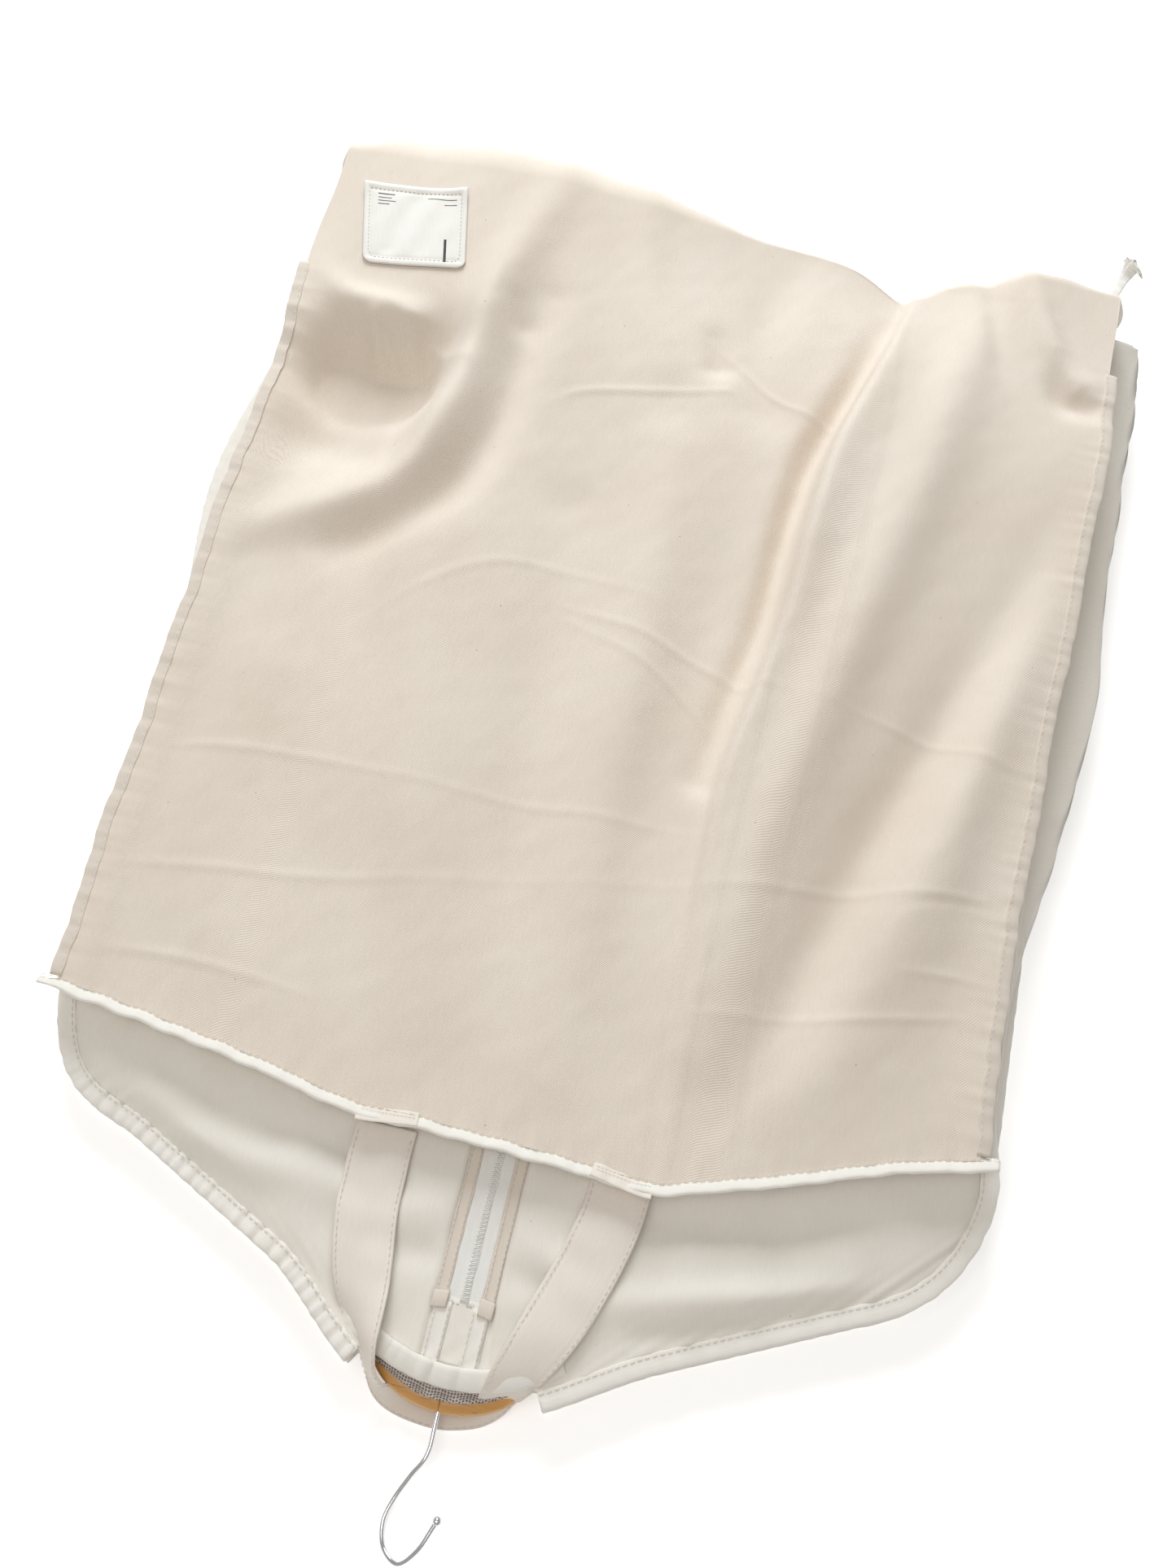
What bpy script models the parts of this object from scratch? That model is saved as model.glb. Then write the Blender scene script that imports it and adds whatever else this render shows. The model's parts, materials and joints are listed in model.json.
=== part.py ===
"""Cotton garment bag on a wooden suit hanger, folded in half with its handle looped behind the hook.

Frame: metres, +Z up, origin at the centre of the footprint. The hook points to -Y and the fold is at +Y.
Places along the bag are given as s, the distance from the fold axis towards the hook.
The upper half lies on the floor. The flap is the bag's lower half, folded over with its back face up.
"""
import math

import bmesh
import bpy
from mathutils import Matrix, Vector

# Overall sizes
BAG_WIDTH = 0.584
UPPER_LENGTH = 0.818
FLAP_LENGTH = 0.639
HEM_BOW = 0.047
FOLD_RADIUS = 0.050
NECK_HEIGHT = 0.0235
HEM_THICKNESS = 0.010

# Cloth, seams and gaps
CLOTH = 0.0020
SEAM_GAP = 0.0003
LAYER_GAP = 0.0036
SWEEP_GAP = 0.0006
BINDING_WIDTH = 0.011
BINDING_THICKNESS = 0.0030
GUSSET_INSET = 0.0020

# Shoulders and neck
SHOULDER_SLOPE = math.radians(25.5)
SHOULDER_RADIUS = 0.110
SHOULDER_STEPS = 10
NECK_WIDTH = 0.110
NECK_BINDING_WIDTH = 0.013

# Front zip, which runs down the middle of both halves
COIL_WIDTH = 0.0042
COIL_THICKNESS = 0.0016
TAPE_WIDTH = 0.0078
TAPE_THICKNESS = 0.0010
FACING_WIDTH = 0.0075
ZIP_TOP = 0.779
ZIP_HEM_CLEARANCE = 0.030
CREASE_CLEARANCE = 0.006
WRAP_REACH = math.radians(87)
SLIDER_LENGTH = 0.011
SLIDER_WIDTH = 0.0080
SLIDER_RISE = 0.0020
PULL_LENGTH = 0.026
PULL_WIDTH = 0.0065
PULL_THICKNESS = 0.0008

# Side zip, on the right gusset of the upper half, drawn open
SIDE_ZIP_START = 0.050
SIDE_ZIP_END = 0.400
SIDE_ZIP_MOUTH = 0.0090
SIDE_TAPE_WIDTH = 0.0060
SIDE_SLIDER_LENGTH = 0.010
SIDE_SLIDER_WIDTH = 0.0072
SIDE_PULL_LENGTH = 0.0100
SIDE_PULL_WIDTH = 0.0050
ZIP_TAIL_LENGTH = 0.030
ZIP_TAIL_DEPTH = 0.0040
ZIP_TAIL_CURL = 0.0040
ZIP_TAIL_STAND_OFF = 0.0005
ZIP_TAIL_STEPS = 4
ZIP_TAIL_ANGLES = (("upper", math.radians(52)), ("lower", math.radians(24)))
STOP_SIZE = 0.0030

# Hanger and hook
HANGER_SPAN = 0.420
HANGER_THICKNESS = 0.0150
HANGER_BACK_GAP = 0.0015
HANGER_ARM_WIDTH = 0.030
HANGER_PEAK = 0.023
HANGER_NECK_WIDTH = 0.096
HANGER_STEPS = 16
HANGER_SPACING = 1.6
HANGER_CLEARANCE = 0.010
HANGER_NECK_FLARE = 0.010
HANGER_NECK_DEPTH = 0.012
HANGER_THINNING = 0.0012
HANGER_ROUNDING = 0.0035
WIRE_RADIUS = 0.0015
HOOK_HOLE_CLEARANCE = 0.0003
HOOK_HOLE_MARGIN = 0.010
HOOK_STEM_DEPTH = 0.052
NUT_RADIUS = 0.0045
NUT_LENGTH = 0.0040
BALL_RADIUS = 0.0026

# Handle strap and label
STRAP_WIDTH = 0.038
STRAP_THICKNESS = 0.0015
STRAP_LOOP_WIDTH = 0.015
STRAP_SPREAD = 0.073
STRAP_HINGE_OFFSET = 0.006
STRAP_LIFT = 0.0012
STRAP_STEPS = 4
ANCHOR_LENGTH = 0.022
LABEL_WIDTH = 0.082
LABEL_HEIGHT = 0.058
LABEL_X = -0.224
LABEL_S = 0.078
LABEL_THICKNESS = 0.0008

# Places that follow from the sizes above
SEAM = BAG_WIDTH / 2
STEM_Z = CLOTH + HANGER_BACK_GAP + HANGER_THICKNESS / 2
FRONT_SLOPE = (FOLD_RADIUS - LAYER_GAP / 2 - NECK_HEIGHT) / UPPER_LENGTH
WRAP_RADIUS = FOLD_RADIUS - CLOTH - SWEEP_GAP
FRONT_START = WRAP_RADIUS + SWEEP_GAP
WOOD_PEAK = UPPER_LENGTH + HANGER_PEAK
HEM_MIDDLE = FLAP_LENGTH + HEM_BOW
ZIP_HALF = COIL_WIDTH / 2 + SEAM_GAP + TAPE_WIDTH + SEAM_GAP + FACING_WIDTH

# The hook, as (sideways, beyond the wood's peak) in the hook's own plane
HOOK_POINTS = [
    (0.0, 0.000), (0.0, 0.022), (-0.0080, 0.036), (-0.0153, 0.050), (-0.0187, 0.063),
    (-0.0140, 0.0755), (-0.0020, 0.0810), (0.0090, 0.0715), (0.0165, 0.0560),
]
HOOK_REACH = 0.0825
HOOK_SWAY = 0.0188
HOOK_TILT = math.asin((STEM_Z - WIRE_RADIUS - SEAM_GAP) / HOOK_SWAY)
HOOK_STEPS = 5
WRAP_STEPS = 14
ROUND_SIDES = 16
WIRE_SIDES = 8

# The fold axis, placed so that the footprint is centred on the origin
LENGTH = WRAP_RADIUS + WOOD_PEAK + HOOK_REACH
FOLD_Y = LENGTH / 2 - WRAP_RADIUS

# Colour, roughness and metallic value of each material
COLOURS = {
    "canvas": ((0.78, 0.72, 0.63), 0.9, 0.0),
    "lining": ((0.74, 0.71, 0.65), 0.9, 0.0),
    "binding": ((0.83, 0.80, 0.74), 0.85, 0.0),
    "mesh": ((0.56, 0.51, 0.47), 0.9, 0.0),
    "tape": ((0.87, 0.86, 0.82), 0.8, 0.0),
    "coil": ((0.90, 0.89, 0.85), 0.5, 0.0),
    "label": ((0.85, 0.84, 0.80), 0.7, 0.0),
    "wood": ((0.42, 0.19, 0.035), 0.35, 0.0),
    "chrome": ((0.75, 0.75, 0.75), 0.12, 1.0),
    "nickel": ((0.60, 0.60, 0.60), 0.25, 1.0),
}


def front_top(s):
    """Height of the upper half's front face at s."""
    return FOLD_RADIUS - LAYER_GAP / 2 - FRONT_SLOPE * s


def flap_bottom(s):
    """Height of the flap's front face, which looks down at the upper half."""
    return front_top(s) + LAYER_GAP


BACK_SLOPE = (2 * FOLD_RADIUS - flap_bottom(HEM_MIDDLE) - HEM_THICKNESS) / HEM_MIDDLE


def flap_top(s):
    """Height of the flap's back face, which looks up."""
    return 2 * FOLD_RADIUS - BACK_SLOPE * s


def place(x, s, z):
    """A point from its sideways place, its distance from the fold axis and its height."""
    return Vector((x, FOLD_Y - s, z))


def material(kind):
    """The Principled material of one kind, made once."""
    if kind in bpy.data.materials:
        return bpy.data.materials[kind]
    colour, roughness, metallic = COLOURS[kind]
    made = bpy.data.materials.new(kind)
    made.use_nodes = True
    shader = made.node_tree.nodes["Principled BSDF"]
    shader.inputs["Base Color"].default_value = (*colour, 1.0)
    shader.inputs["Roughness"].default_value = roughness
    shader.inputs["Metallic"].default_value = metallic
    return made


def add_object(name, bm, kind, parent=None, smooth=False):
    """Turn a bmesh into a named object, with its origin on its parent's axis if it has one."""
    bmesh.ops.recalc_face_normals(bm, faces=bm.faces)
    mesh = bpy.data.meshes.new(name)
    if parent:
        bm.transform(parent.matrix_world.inverted())
    bm.to_mesh(mesh)
    bm.free()
    if smooth:
        mesh.shade_smooth()
        mesh.set_sharp_from_angle(angle=math.radians(40))
    mesh.materials.append(material(kind))
    made = bpy.data.objects.new(name, mesh)
    bpy.context.scene.collection.objects.link(made)
    if parent:
        made.parent = parent
    return made


def add_axis(name, location):
    """An empty on a joint's axis, which the pieces of that body are parented to."""
    empty = bpy.data.objects.new(name, None)
    empty.location = location
    bpy.context.scene.collection.objects.link(empty)
    bpy.context.view_layer.update()
    return empty


def swept(name, rings, kind, parent=None, smooth=False):
    """A closed solid through a row of rings, which all have the same number of points."""
    bm = bmesh.new()
    rows = [[bm.verts.new(p) for p in ring] for ring in rings]
    count = len(rows[0])
    for low, high in zip(rows, rows[1:]):
        for i in range(count):
            j = (i + 1) % count
            bm.faces.new((low[i], low[j], high[j], high[i]))
    bm.faces.new(rows[0])
    bm.faces.new(list(reversed(rows[-1])))
    return add_object(name, bm, kind, parent, smooth)


def plate(name, outline, low, high, kind, parent=None):
    """A sheet with the outline [(x, s)] between two heights, each a function of s."""
    bottom = [place(x, s, low(s)) for x, s in outline]
    top = [place(x, s, high(s)) for x, s in outline]
    return swept(name, [bottom, top], kind, parent)


def block(name, x_range, s_range, low, high, kind, parent=None):
    """A plate with a rectangular outline."""
    (x0, x1), (s0, s1) = x_range, s_range
    return plate(name, [(x0, s0), (x1, s0), (x1, s1), (x0, s1)], low, high, kind, parent)


def above(surface, offset):
    """The surface moved up by an offset."""
    return lambda s: surface(s) + offset


def floor(s):
    """The floor, under every s."""
    return 0.0


def smooth_route(points, steps):
    """Catmull-Rom curve through the points, with a number of steps between each two."""
    points = [Vector(p) for p in points]
    ends = [2 * points[0] - points[1], *points, 2 * points[-1] - points[-2]]
    route = []
    for a, b, c, d in zip(ends, ends[1:], ends[2:], ends[3:]):
        for k in range(steps):
            t = k / steps
            route.append(
                0.5 * (2 * b + (c - a) * t + (2 * a - 5 * b + 4 * c - d) * t**2
                       + (3 * b - a - 3 * c + d) * t**3)
            )
    route.append(points[-1])
    return route


def half_outline(inset, start):
    """The right half of the upper half's outline, from s = start to the neck, as [(x, s)].

    The side runs straight, an arc turns the shoulder and a straight slope leads to the neck.
    A positive inset moves it inwards.
    """
    side = SEAM - inset
    turn = math.pi / 2 - SHOULDER_SLOPE
    radius = SHOULDER_RADIUS - inset
    slope_x = NECK_WIDTH / 2 - inset * math.sin(SHOULDER_SLOPE)
    slope_s = UPPER_LENGTH - inset * math.cos(SHOULDER_SLOPE)
    corner_s = slope_s - (side - slope_x) * math.tan(SHOULDER_SLOPE)
    centre_s = corner_s - radius * math.tan(turn / 2)
    points = [] if start is None else [(side, start)]
    for k in range(SHOULDER_STEPS + 1):
        angle = turn * k / SHOULDER_STEPS
        points.append((side - radius + radius * math.cos(angle), centre_s + radius * math.sin(angle)))
    neck_s = UPPER_LENGTH - inset
    points.append((slope_x + (slope_s - neck_s) / math.tan(SHOULDER_SLOPE), neck_s))
    return points


def mirrored(outline, side):
    """The outline on the right for side 1, and its mirror image on the left for side -1."""
    return [(side * x, s) for x, s in outline]


def edge_strip(name, inner, outer, low, high, kind, parent=None):
    """A flat strip between two outlines with the same number of points."""
    rings = []
    for (xi, si), (xo, so) in zip(inner, outer):
        rings.append([place(xi, si, low(si)), place(xo, so, low(so)),
                      place(xo, so, high(so)), place(xi, si, high(si))])
    return swept(name, rings, kind, parent)


def add_upper_panels():
    """Back panel, the two front panels, and the bindings along their seams."""
    right = half_outline(0, 0)
    left = mirrored(right, -1)
    plate("back_panel", right + left[::-1], floor, above(floor, CLOTH), "canvas")
    for side, word in ((-1, "left"), (1, "right")):
        outline = [(ZIP_HALF + SEAM_GAP, FRONT_START)]
        outline += half_outline(0, FRONT_START)
        outline[-1] = (outline[-1][0], UPPER_LENGTH)
        outline.append((ZIP_HALF + SEAM_GAP, UPPER_LENGTH))
        plate(f"front_panel_{word}", mirrored(outline, side),
              above(front_top, -CLOTH), front_top, "lining")
        inner = mirrored(half_outline(-SEAM_GAP, CREASE_CLEARANCE), side)
        outer = mirrored(half_outline(-BINDING_WIDTH, CREASE_CLEARANCE), side)
        middle = above(front_top, -CLOTH / 2)
        edge_strip(f"front_binding_{word}", inner, outer, above(middle, -BINDING_THICKNESS / 2),
                   above(middle, BINDING_THICKNESS / 2), "binding")
        edge_strip(f"back_binding_{word}", inner, outer, floor, above(floor, CLOTH), "binding")


def add_gussets():
    """The walls between the back and the front: cotton at the sides, mesh over the shoulders."""
    low = above(floor, CLOTH + SEAM_GAP)
    high = above(front_top, -CLOTH - SEAM_GAP)
    shoulder_s = half_outline(GUSSET_INSET, None)[0][1]
    wall_in = SEAM - GUSSET_INSET - CLOTH
    wall_out = SEAM - GUSSET_INSET
    block("side_gusset_left", (-wall_out, -wall_in), (CREASE_CLEARANCE, shoulder_s), low, high, "lining")
    for side, word in ((-1, "left"), (1, "right")):
        rings = []
        outer = mirrored(half_outline(GUSSET_INSET, None), side)
        inner = mirrored(half_outline(GUSSET_INSET + CLOTH, None), side)
        outer[0] = (outer[0][0], shoulder_s + SEAM_GAP)
        inner[0] = (inner[0][0], shoulder_s + SEAM_GAP)
        for (xo, so), (xi, si) in zip(outer, inner):
            rings.append([place(xo, so, low(so)), place(xo, so, high(so)),
                          place(xi, si, high(si)), place(xi, si, low(si))])
        swept(f"shoulder_mesh_{word}", rings, "mesh")
    near = CREASE_CLEARANCE
    far = SIDE_ZIP_END + SEAM_GAP
    mouth_low, mouth_high = side_mouth()
    below = mouth_low(far) - SIDE_TAPE_WIDTH - SEAM_GAP
    over = mouth_high(far) + SIDE_TAPE_WIDTH + SEAM_GAP
    wall = [(near, low(near)), (shoulder_s, low(shoulder_s)), (shoulder_s, high(shoulder_s)),
            (near, high(near)), (near, over), (far, over), (far, below), (near, below)]
    rings = [[place(x, s, z) for s, z in wall] for x in (wall_in, wall_out)]
    swept("side_gusset_right", rings, "lining")


def side_mouth():
    """The lower and upper lips of the open side zip, as heights."""
    middle = (CLOTH + front_top(SIDE_ZIP_END) - CLOTH) / 2
    return above(floor, middle - SIDE_ZIP_MOUTH / 2), above(floor, middle + SIDE_ZIP_MOUTH / 2)


def add_side_zip():
    """The open side zip: two tapes, their curled tails, the stops, the slider and its pull."""
    mouth_low, mouth_high = side_mouth()
    x_in = SEAM - GUSSET_INSET - CLOTH
    x_out = x_in + TAPE_THICKNESS
    zip_range = (SIDE_ZIP_START, SIDE_ZIP_END)
    block("side_zip_tape_lower", (x_in, x_out), zip_range,
          above(mouth_low, -SIDE_TAPE_WIDTH), mouth_low, "tape")
    block("side_zip_tape_upper", (x_in, x_out), zip_range,
          mouth_high, above(mouth_high, SIDE_TAPE_WIDTH), "tape")
    block("side_zip_bottom_stop", (x_in, x_in + STOP_SIZE),
          (SIDE_ZIP_END - STOP_SIZE, SIDE_ZIP_END - SEAM_GAP),
          above(mouth_low, SEAM_GAP), above(mouth_high, -SEAM_GAP), "nickel")

    slider_s = SIDE_ZIP_END - STOP_SIZE - SEAM_GAP - SIDE_SLIDER_LENGTH
    base_x = x_out + SEAM_GAP
    slider_top = base_x + SLIDER_RISE
    middle = (mouth_low(0) + mouth_high(0)) / 2
    half = SIDE_SLIDER_WIDTH / 2
    slider = add_axis("side_slider_rest", place(base_x, slider_s, middle))
    block("side_zip_slider", (base_x, slider_top), (slider_s, slider_s + SIDE_SLIDER_LENGTH),
          above(floor, middle - half), above(floor, middle + half), "nickel", slider)
    pull_z = middle - half - 2 * SEAM_GAP
    pull_s = slider_s + SIDE_SLIDER_LENGTH / 2
    pull_length = min(SIDE_PULL_LENGTH, pull_z - CLOTH - SWEEP_GAP)
    pull = add_axis("side_pull_axis", place(slider_top, pull_s, pull_z))
    block("side_zip_pull", (slider_top - PULL_THICKNESS, slider_top),
          (pull_s - SIDE_PULL_WIDTH / 2, pull_s + SIDE_PULL_WIDTH / 2),
          above(floor, pull_z - pull_length), above(floor, pull_z), "nickel", pull)


def add_front_zip():
    """Coil, tapes and facings down the middle of the upper half, and the tab above them."""
    tape_x = COIL_WIDTH / 2 + SEAM_GAP
    facing_x = tape_x + TAPE_WIDTH + SEAM_GAP
    span = (FRONT_START, ZIP_TOP)
    coil_top = above(front_top, -CLOTH / 2 + COIL_THICKNESS / 2)
    block("zip_coil_upper", (-COIL_WIDTH / 2, COIL_WIDTH / 2), span,
          above(coil_top, -COIL_THICKNESS), coil_top, "coil")
    for side, word in ((-1, "left"), (1, "right")):
        tape = sorted((side * tape_x, side * (tape_x + TAPE_WIDTH)))
        facing = sorted((side * facing_x, side * ZIP_HALF))
        middle = above(front_top, -CLOTH / 2)
        block(f"zip_tape_upper_{word}", tape, span, above(middle, -TAPE_THICKNESS / 2),
              above(middle, TAPE_THICKNESS / 2), "tape")
        block(f"zip_facing_{word}", facing, span, above(front_top, -CLOTH), front_top, "binding")
    block("zip_top_tab", (-ZIP_HALF, ZIP_HALF), (ZIP_TOP + SEAM_GAP, UPPER_LENGTH),
          above(front_top, -CLOTH), front_top, "lining")


def add_neck_bindings():
    """The thick white bindings along the front and the back edge of the neck."""
    half = half_outline(0, None)[-1][0]
    near = UPPER_LENGTH + SEAM_GAP
    width = (-half, half)
    span = (near, near + NECK_BINDING_WIDTH / 2)
    middle = above(front_top, -CLOTH / 2)
    block("neck_binding_front", width, span, above(middle, -BINDING_THICKNESS / 2),
          above(middle, BINDING_THICKNESS / 2), "tape")
    block("neck_binding_back", width, span, floor, above(floor, CLOTH), "tape")


def flap_outline(x_inner, start):
    """Right half of the flap from x_inner to its side, with a hem that bows towards its middle."""
    anchor = STRAP_SPREAD + STRAP_WIDTH / 2
    return [(x_inner, start), (SEAM, start), (SEAM, FLAP_LENGTH),
            (anchor, HEM_MIDDLE), (x_inner, HEM_MIDDLE)]


def add_flap(axis):
    """The lower half of the bag: panels, walls, bindings, zip, label and the handle's anchors."""
    front_low = flap_bottom
    front_high = above(flap_bottom, CLOTH)
    right = flap_outline(0, CREASE_CLEARANCE)[1:4]
    left = mirrored(right, -1)
    plate("flap_back_panel", right + left[::-1], above(flap_top, -CLOTH), flap_top, "canvas", axis)
    for side, word in ((-1, "left"), (1, "right")):
        outline = mirrored(flap_outline(ZIP_HALF + SEAM_GAP, FRONT_START), side)
        plate(f"flap_front_{word}", outline, front_low, front_high, "lining", axis)
        wall = sorted((side * (SEAM - GUSSET_INSET - CLOTH), side * (SEAM - GUSSET_INSET)))
        block(f"flap_gusset_{word}", wall, (CREASE_CLEARANCE, FLAP_LENGTH - GUSSET_INSET - CLOTH),
              above(front_high, SEAM_GAP), above(flap_top, -CLOTH - SEAM_GAP), "lining", axis)
        edge = sorted((side * (SEAM + SEAM_GAP), side * (SEAM + BINDING_WIDTH)))
        span = (CREASE_CLEARANCE, FLAP_LENGTH)
        block(f"flap_binding_{word}", edge, span, above(flap_top, -BINDING_THICKNESS),
              flap_top, "binding", axis)
        block(f"flap_inner_binding_{word}", edge, span, front_low, front_high, "binding", axis)

    inner = hem_line(-SEAM_GAP)
    outer = hem_line(-BINDING_WIDTH)
    edge_strip("hem_binding", inner, outer, front_low, flap_top, "binding", axis)
    wall_out = hem_line(GUSSET_INSET)
    wall_in = hem_line(GUSSET_INSET + CLOTH)
    edge_strip("hem_gusset", wall_in, wall_out, above(front_high, SEAM_GAP),
               above(flap_top, -CLOTH - SEAM_GAP), "lining", axis)

    add_flap_zip(axis)
    label = [(LABEL_X - LABEL_WIDTH / 2, LABEL_S - LABEL_HEIGHT / 2),
             (LABEL_X + LABEL_WIDTH / 2, LABEL_S - LABEL_HEIGHT / 2),
             (LABEL_X + LABEL_WIDTH / 2, LABEL_S + LABEL_HEIGHT / 2),
             (LABEL_X - LABEL_WIDTH / 2, LABEL_S + LABEL_HEIGHT / 2)]
    plate("label_patch", label, above(flap_top, SEAM_GAP),
          above(flap_top, SEAM_GAP + LABEL_THICKNESS), "label", axis)
    for side, word in ((-1, "left"), (1, "right")):
        centre = side * STRAP_SPREAD
        far = HEM_MIDDLE + BINDING_WIDTH
        block(f"handle_anchor_{word}", (centre - STRAP_WIDTH / 2, centre + STRAP_WIDTH / 2),
              (far - ANCHOR_LENGTH, far), above(flap_bottom, -SEAM_GAP - STRAP_THICKNESS),
              above(flap_bottom, -SEAM_GAP), "canvas", axis)


def hem_line(inset):
    """The hem from its left corner to its right corner."""
    side = SEAM - max(inset, 0)
    anchor = STRAP_SPREAD + STRAP_WIDTH / 2
    return [(-side, FLAP_LENGTH - inset), (-anchor, HEM_MIDDLE - inset),
            (anchor, HEM_MIDDLE - inset), (side, FLAP_LENGTH - inset)]


def add_flap_zip(axis):
    """The same zip on the flap's front face, down to its end near the hem."""
    tape_x = COIL_WIDTH / 2 + SEAM_GAP
    facing_x = tape_x + TAPE_WIDTH + SEAM_GAP
    zip_end = HEM_MIDDLE - ZIP_HEM_CLEARANCE
    span = (FRONT_START, zip_end)
    middle = above(flap_bottom, CLOTH / 2)
    block("zip_coil_lower", (-COIL_WIDTH / 2, COIL_WIDTH / 2), span,
          above(middle, -COIL_THICKNESS / 2), above(middle, COIL_THICKNESS / 2), "coil", axis)
    for side, word in ((-1, "left"), (1, "right")):
        tape = sorted((side * tape_x, side * (tape_x + TAPE_WIDTH)))
        facing = sorted((side * facing_x, side * ZIP_HALF))
        block(f"zip_tape_lower_{word}", tape, span, above(middle, -TAPE_THICKNESS / 2),
              above(middle, TAPE_THICKNESS / 2), "tape", axis)
        block(f"zip_facing_lower_{word}", facing, span, flap_bottom, above(flap_bottom, CLOTH),
              "binding", axis)
    block("zip_end_tab", (-ZIP_HALF, ZIP_HALF), (zip_end + SEAM_GAP, HEM_MIDDLE),
          flap_bottom, above(flap_bottom, CLOTH), "lining", axis)

    slider_end = zip_end - SEAM_GAP
    slider_start = slider_end - SLIDER_LENGTH
    low = above(middle, -COIL_THICKNESS / 2 - SEAM_GAP - SLIDER_RISE)
    slider = add_axis("zip_slider_rest", place(0, slider_start, low(slider_start)))
    block("zip_slider", (-SLIDER_WIDTH / 2, SLIDER_WIDTH / 2), (slider_start, slider_end),
          low, above(low, SLIDER_RISE), "nickel", slider)
    pull_end = slider_start - 2 * SEAM_GAP
    pull = add_axis("zip_pull_axis", place(0, pull_end, low(pull_end) + PULL_THICKNESS / 2))
    block("zip_pull", (-PULL_WIDTH / 2, PULL_WIDTH / 2), (pull_end - PULL_LENGTH, pull_end),
          low, above(low, PULL_THICKNESS), "nickel", pull)


def add_fold(axis):
    """The roll: the back cloth that wraps around the fold, and the gathered ends of its gussets."""
    centre = place(0, 0, FOLD_RADIUS)
    angles = [WRAP_REACH * (2 * k / WRAP_STEPS - 1) for k in range(WRAP_STEPS + 1)]
    half = SEAM - GUSSET_INSET - CLOTH - SWEEP_GAP
    rings = []
    for angle in angles:
        out = Vector((0, math.cos(angle), math.sin(angle)))
        outer = centre + out * WRAP_RADIUS
        inner = centre + out * (WRAP_RADIUS - CLOTH)
        across = Vector((half, 0, 0))
        rings.append([outer - across, outer + across, inner + across, inner - across])
    swept("fold_wrap", rings, "canvas", axis, smooth=True)
    for side, word in ((-1, "left"), (1, "right")):
        radius = WRAP_RADIUS - CLOTH - SEAM_GAP
        disc = [centre + radius * Vector((0, math.cos(a), math.sin(a))) for a in angles]
        outer_x = side * half
        inner_x = side * (half - CLOTH)
        rings = [[p + Vector((x, 0, 0)) for p in disc] for x in (outer_x, inner_x)]
        swept(f"fold_gusset_{word}", rings, "lining", axis)
    for word, angle in ZIP_TAIL_ANGLES:
        curl = tail_rings(centre, angle, SEAM - GUSSET_INSET + SWEEP_GAP)
        swept(f"side_zip_tail_{word}", curl, "tape", axis)
        tip = sum(curl[-1], Vector()) / len(curl[-1])
        beside = tip + Vector(((TAPE_THICKNESS + STOP_SIZE) / 2 + SEAM_GAP, 0, 0))
        stop = bmesh.new()
        bmesh.ops.create_cube(stop, size=STOP_SIZE, matrix=Matrix.Translation(beside))
        add_object(f"side_zip_stop_{word}", stop, "nickel", axis)


def tail_rings(centre, angle, x_low):
    """A zip tape's loose end, which stands off the side of the roll and curls outwards."""
    rings = []
    for k in range(ZIP_TAIL_STEPS + 1):
        bend = k / ZIP_TAIL_STEPS
        out = Vector((0, math.cos(angle), math.sin(angle)))
        along = Vector((0, -math.sin(angle), math.cos(angle)))
        base = centre + out * (WRAP_RADIUS - ZIP_TAIL_DEPTH - ZIP_TAIL_LENGTH * (1 - bend))
        base.x = x_low + ZIP_TAIL_STAND_OFF + ZIP_TAIL_CURL * bend**2
        half = along * SIDE_TAPE_WIDTH / 2
        thick = Vector((TAPE_THICKNESS, 0, 0))
        rings.append([base - half, base + half, base + half + thick, base - half + thick])
    return rings


def hanger_top(x):
    """The s of the hanger's upper edge at x: a hump at the neck, and an arm along the shoulder."""
    arm = UPPER_LENGTH - HANGER_CLEARANCE - (abs(x) - NECK_WIDTH / 2) * math.tan(SHOULDER_SLOPE)
    hump_half = HANGER_NECK_WIDTH / 2
    if abs(x) >= hump_half:
        return arm
    base = UPPER_LENGTH - HANGER_CLEARANCE - (hump_half - NECK_WIDTH / 2) * math.tan(SHOULDER_SLOPE)
    return base + (WOOD_PEAK - base) * math.sqrt(1 - (x / hump_half) ** 2)


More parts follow.
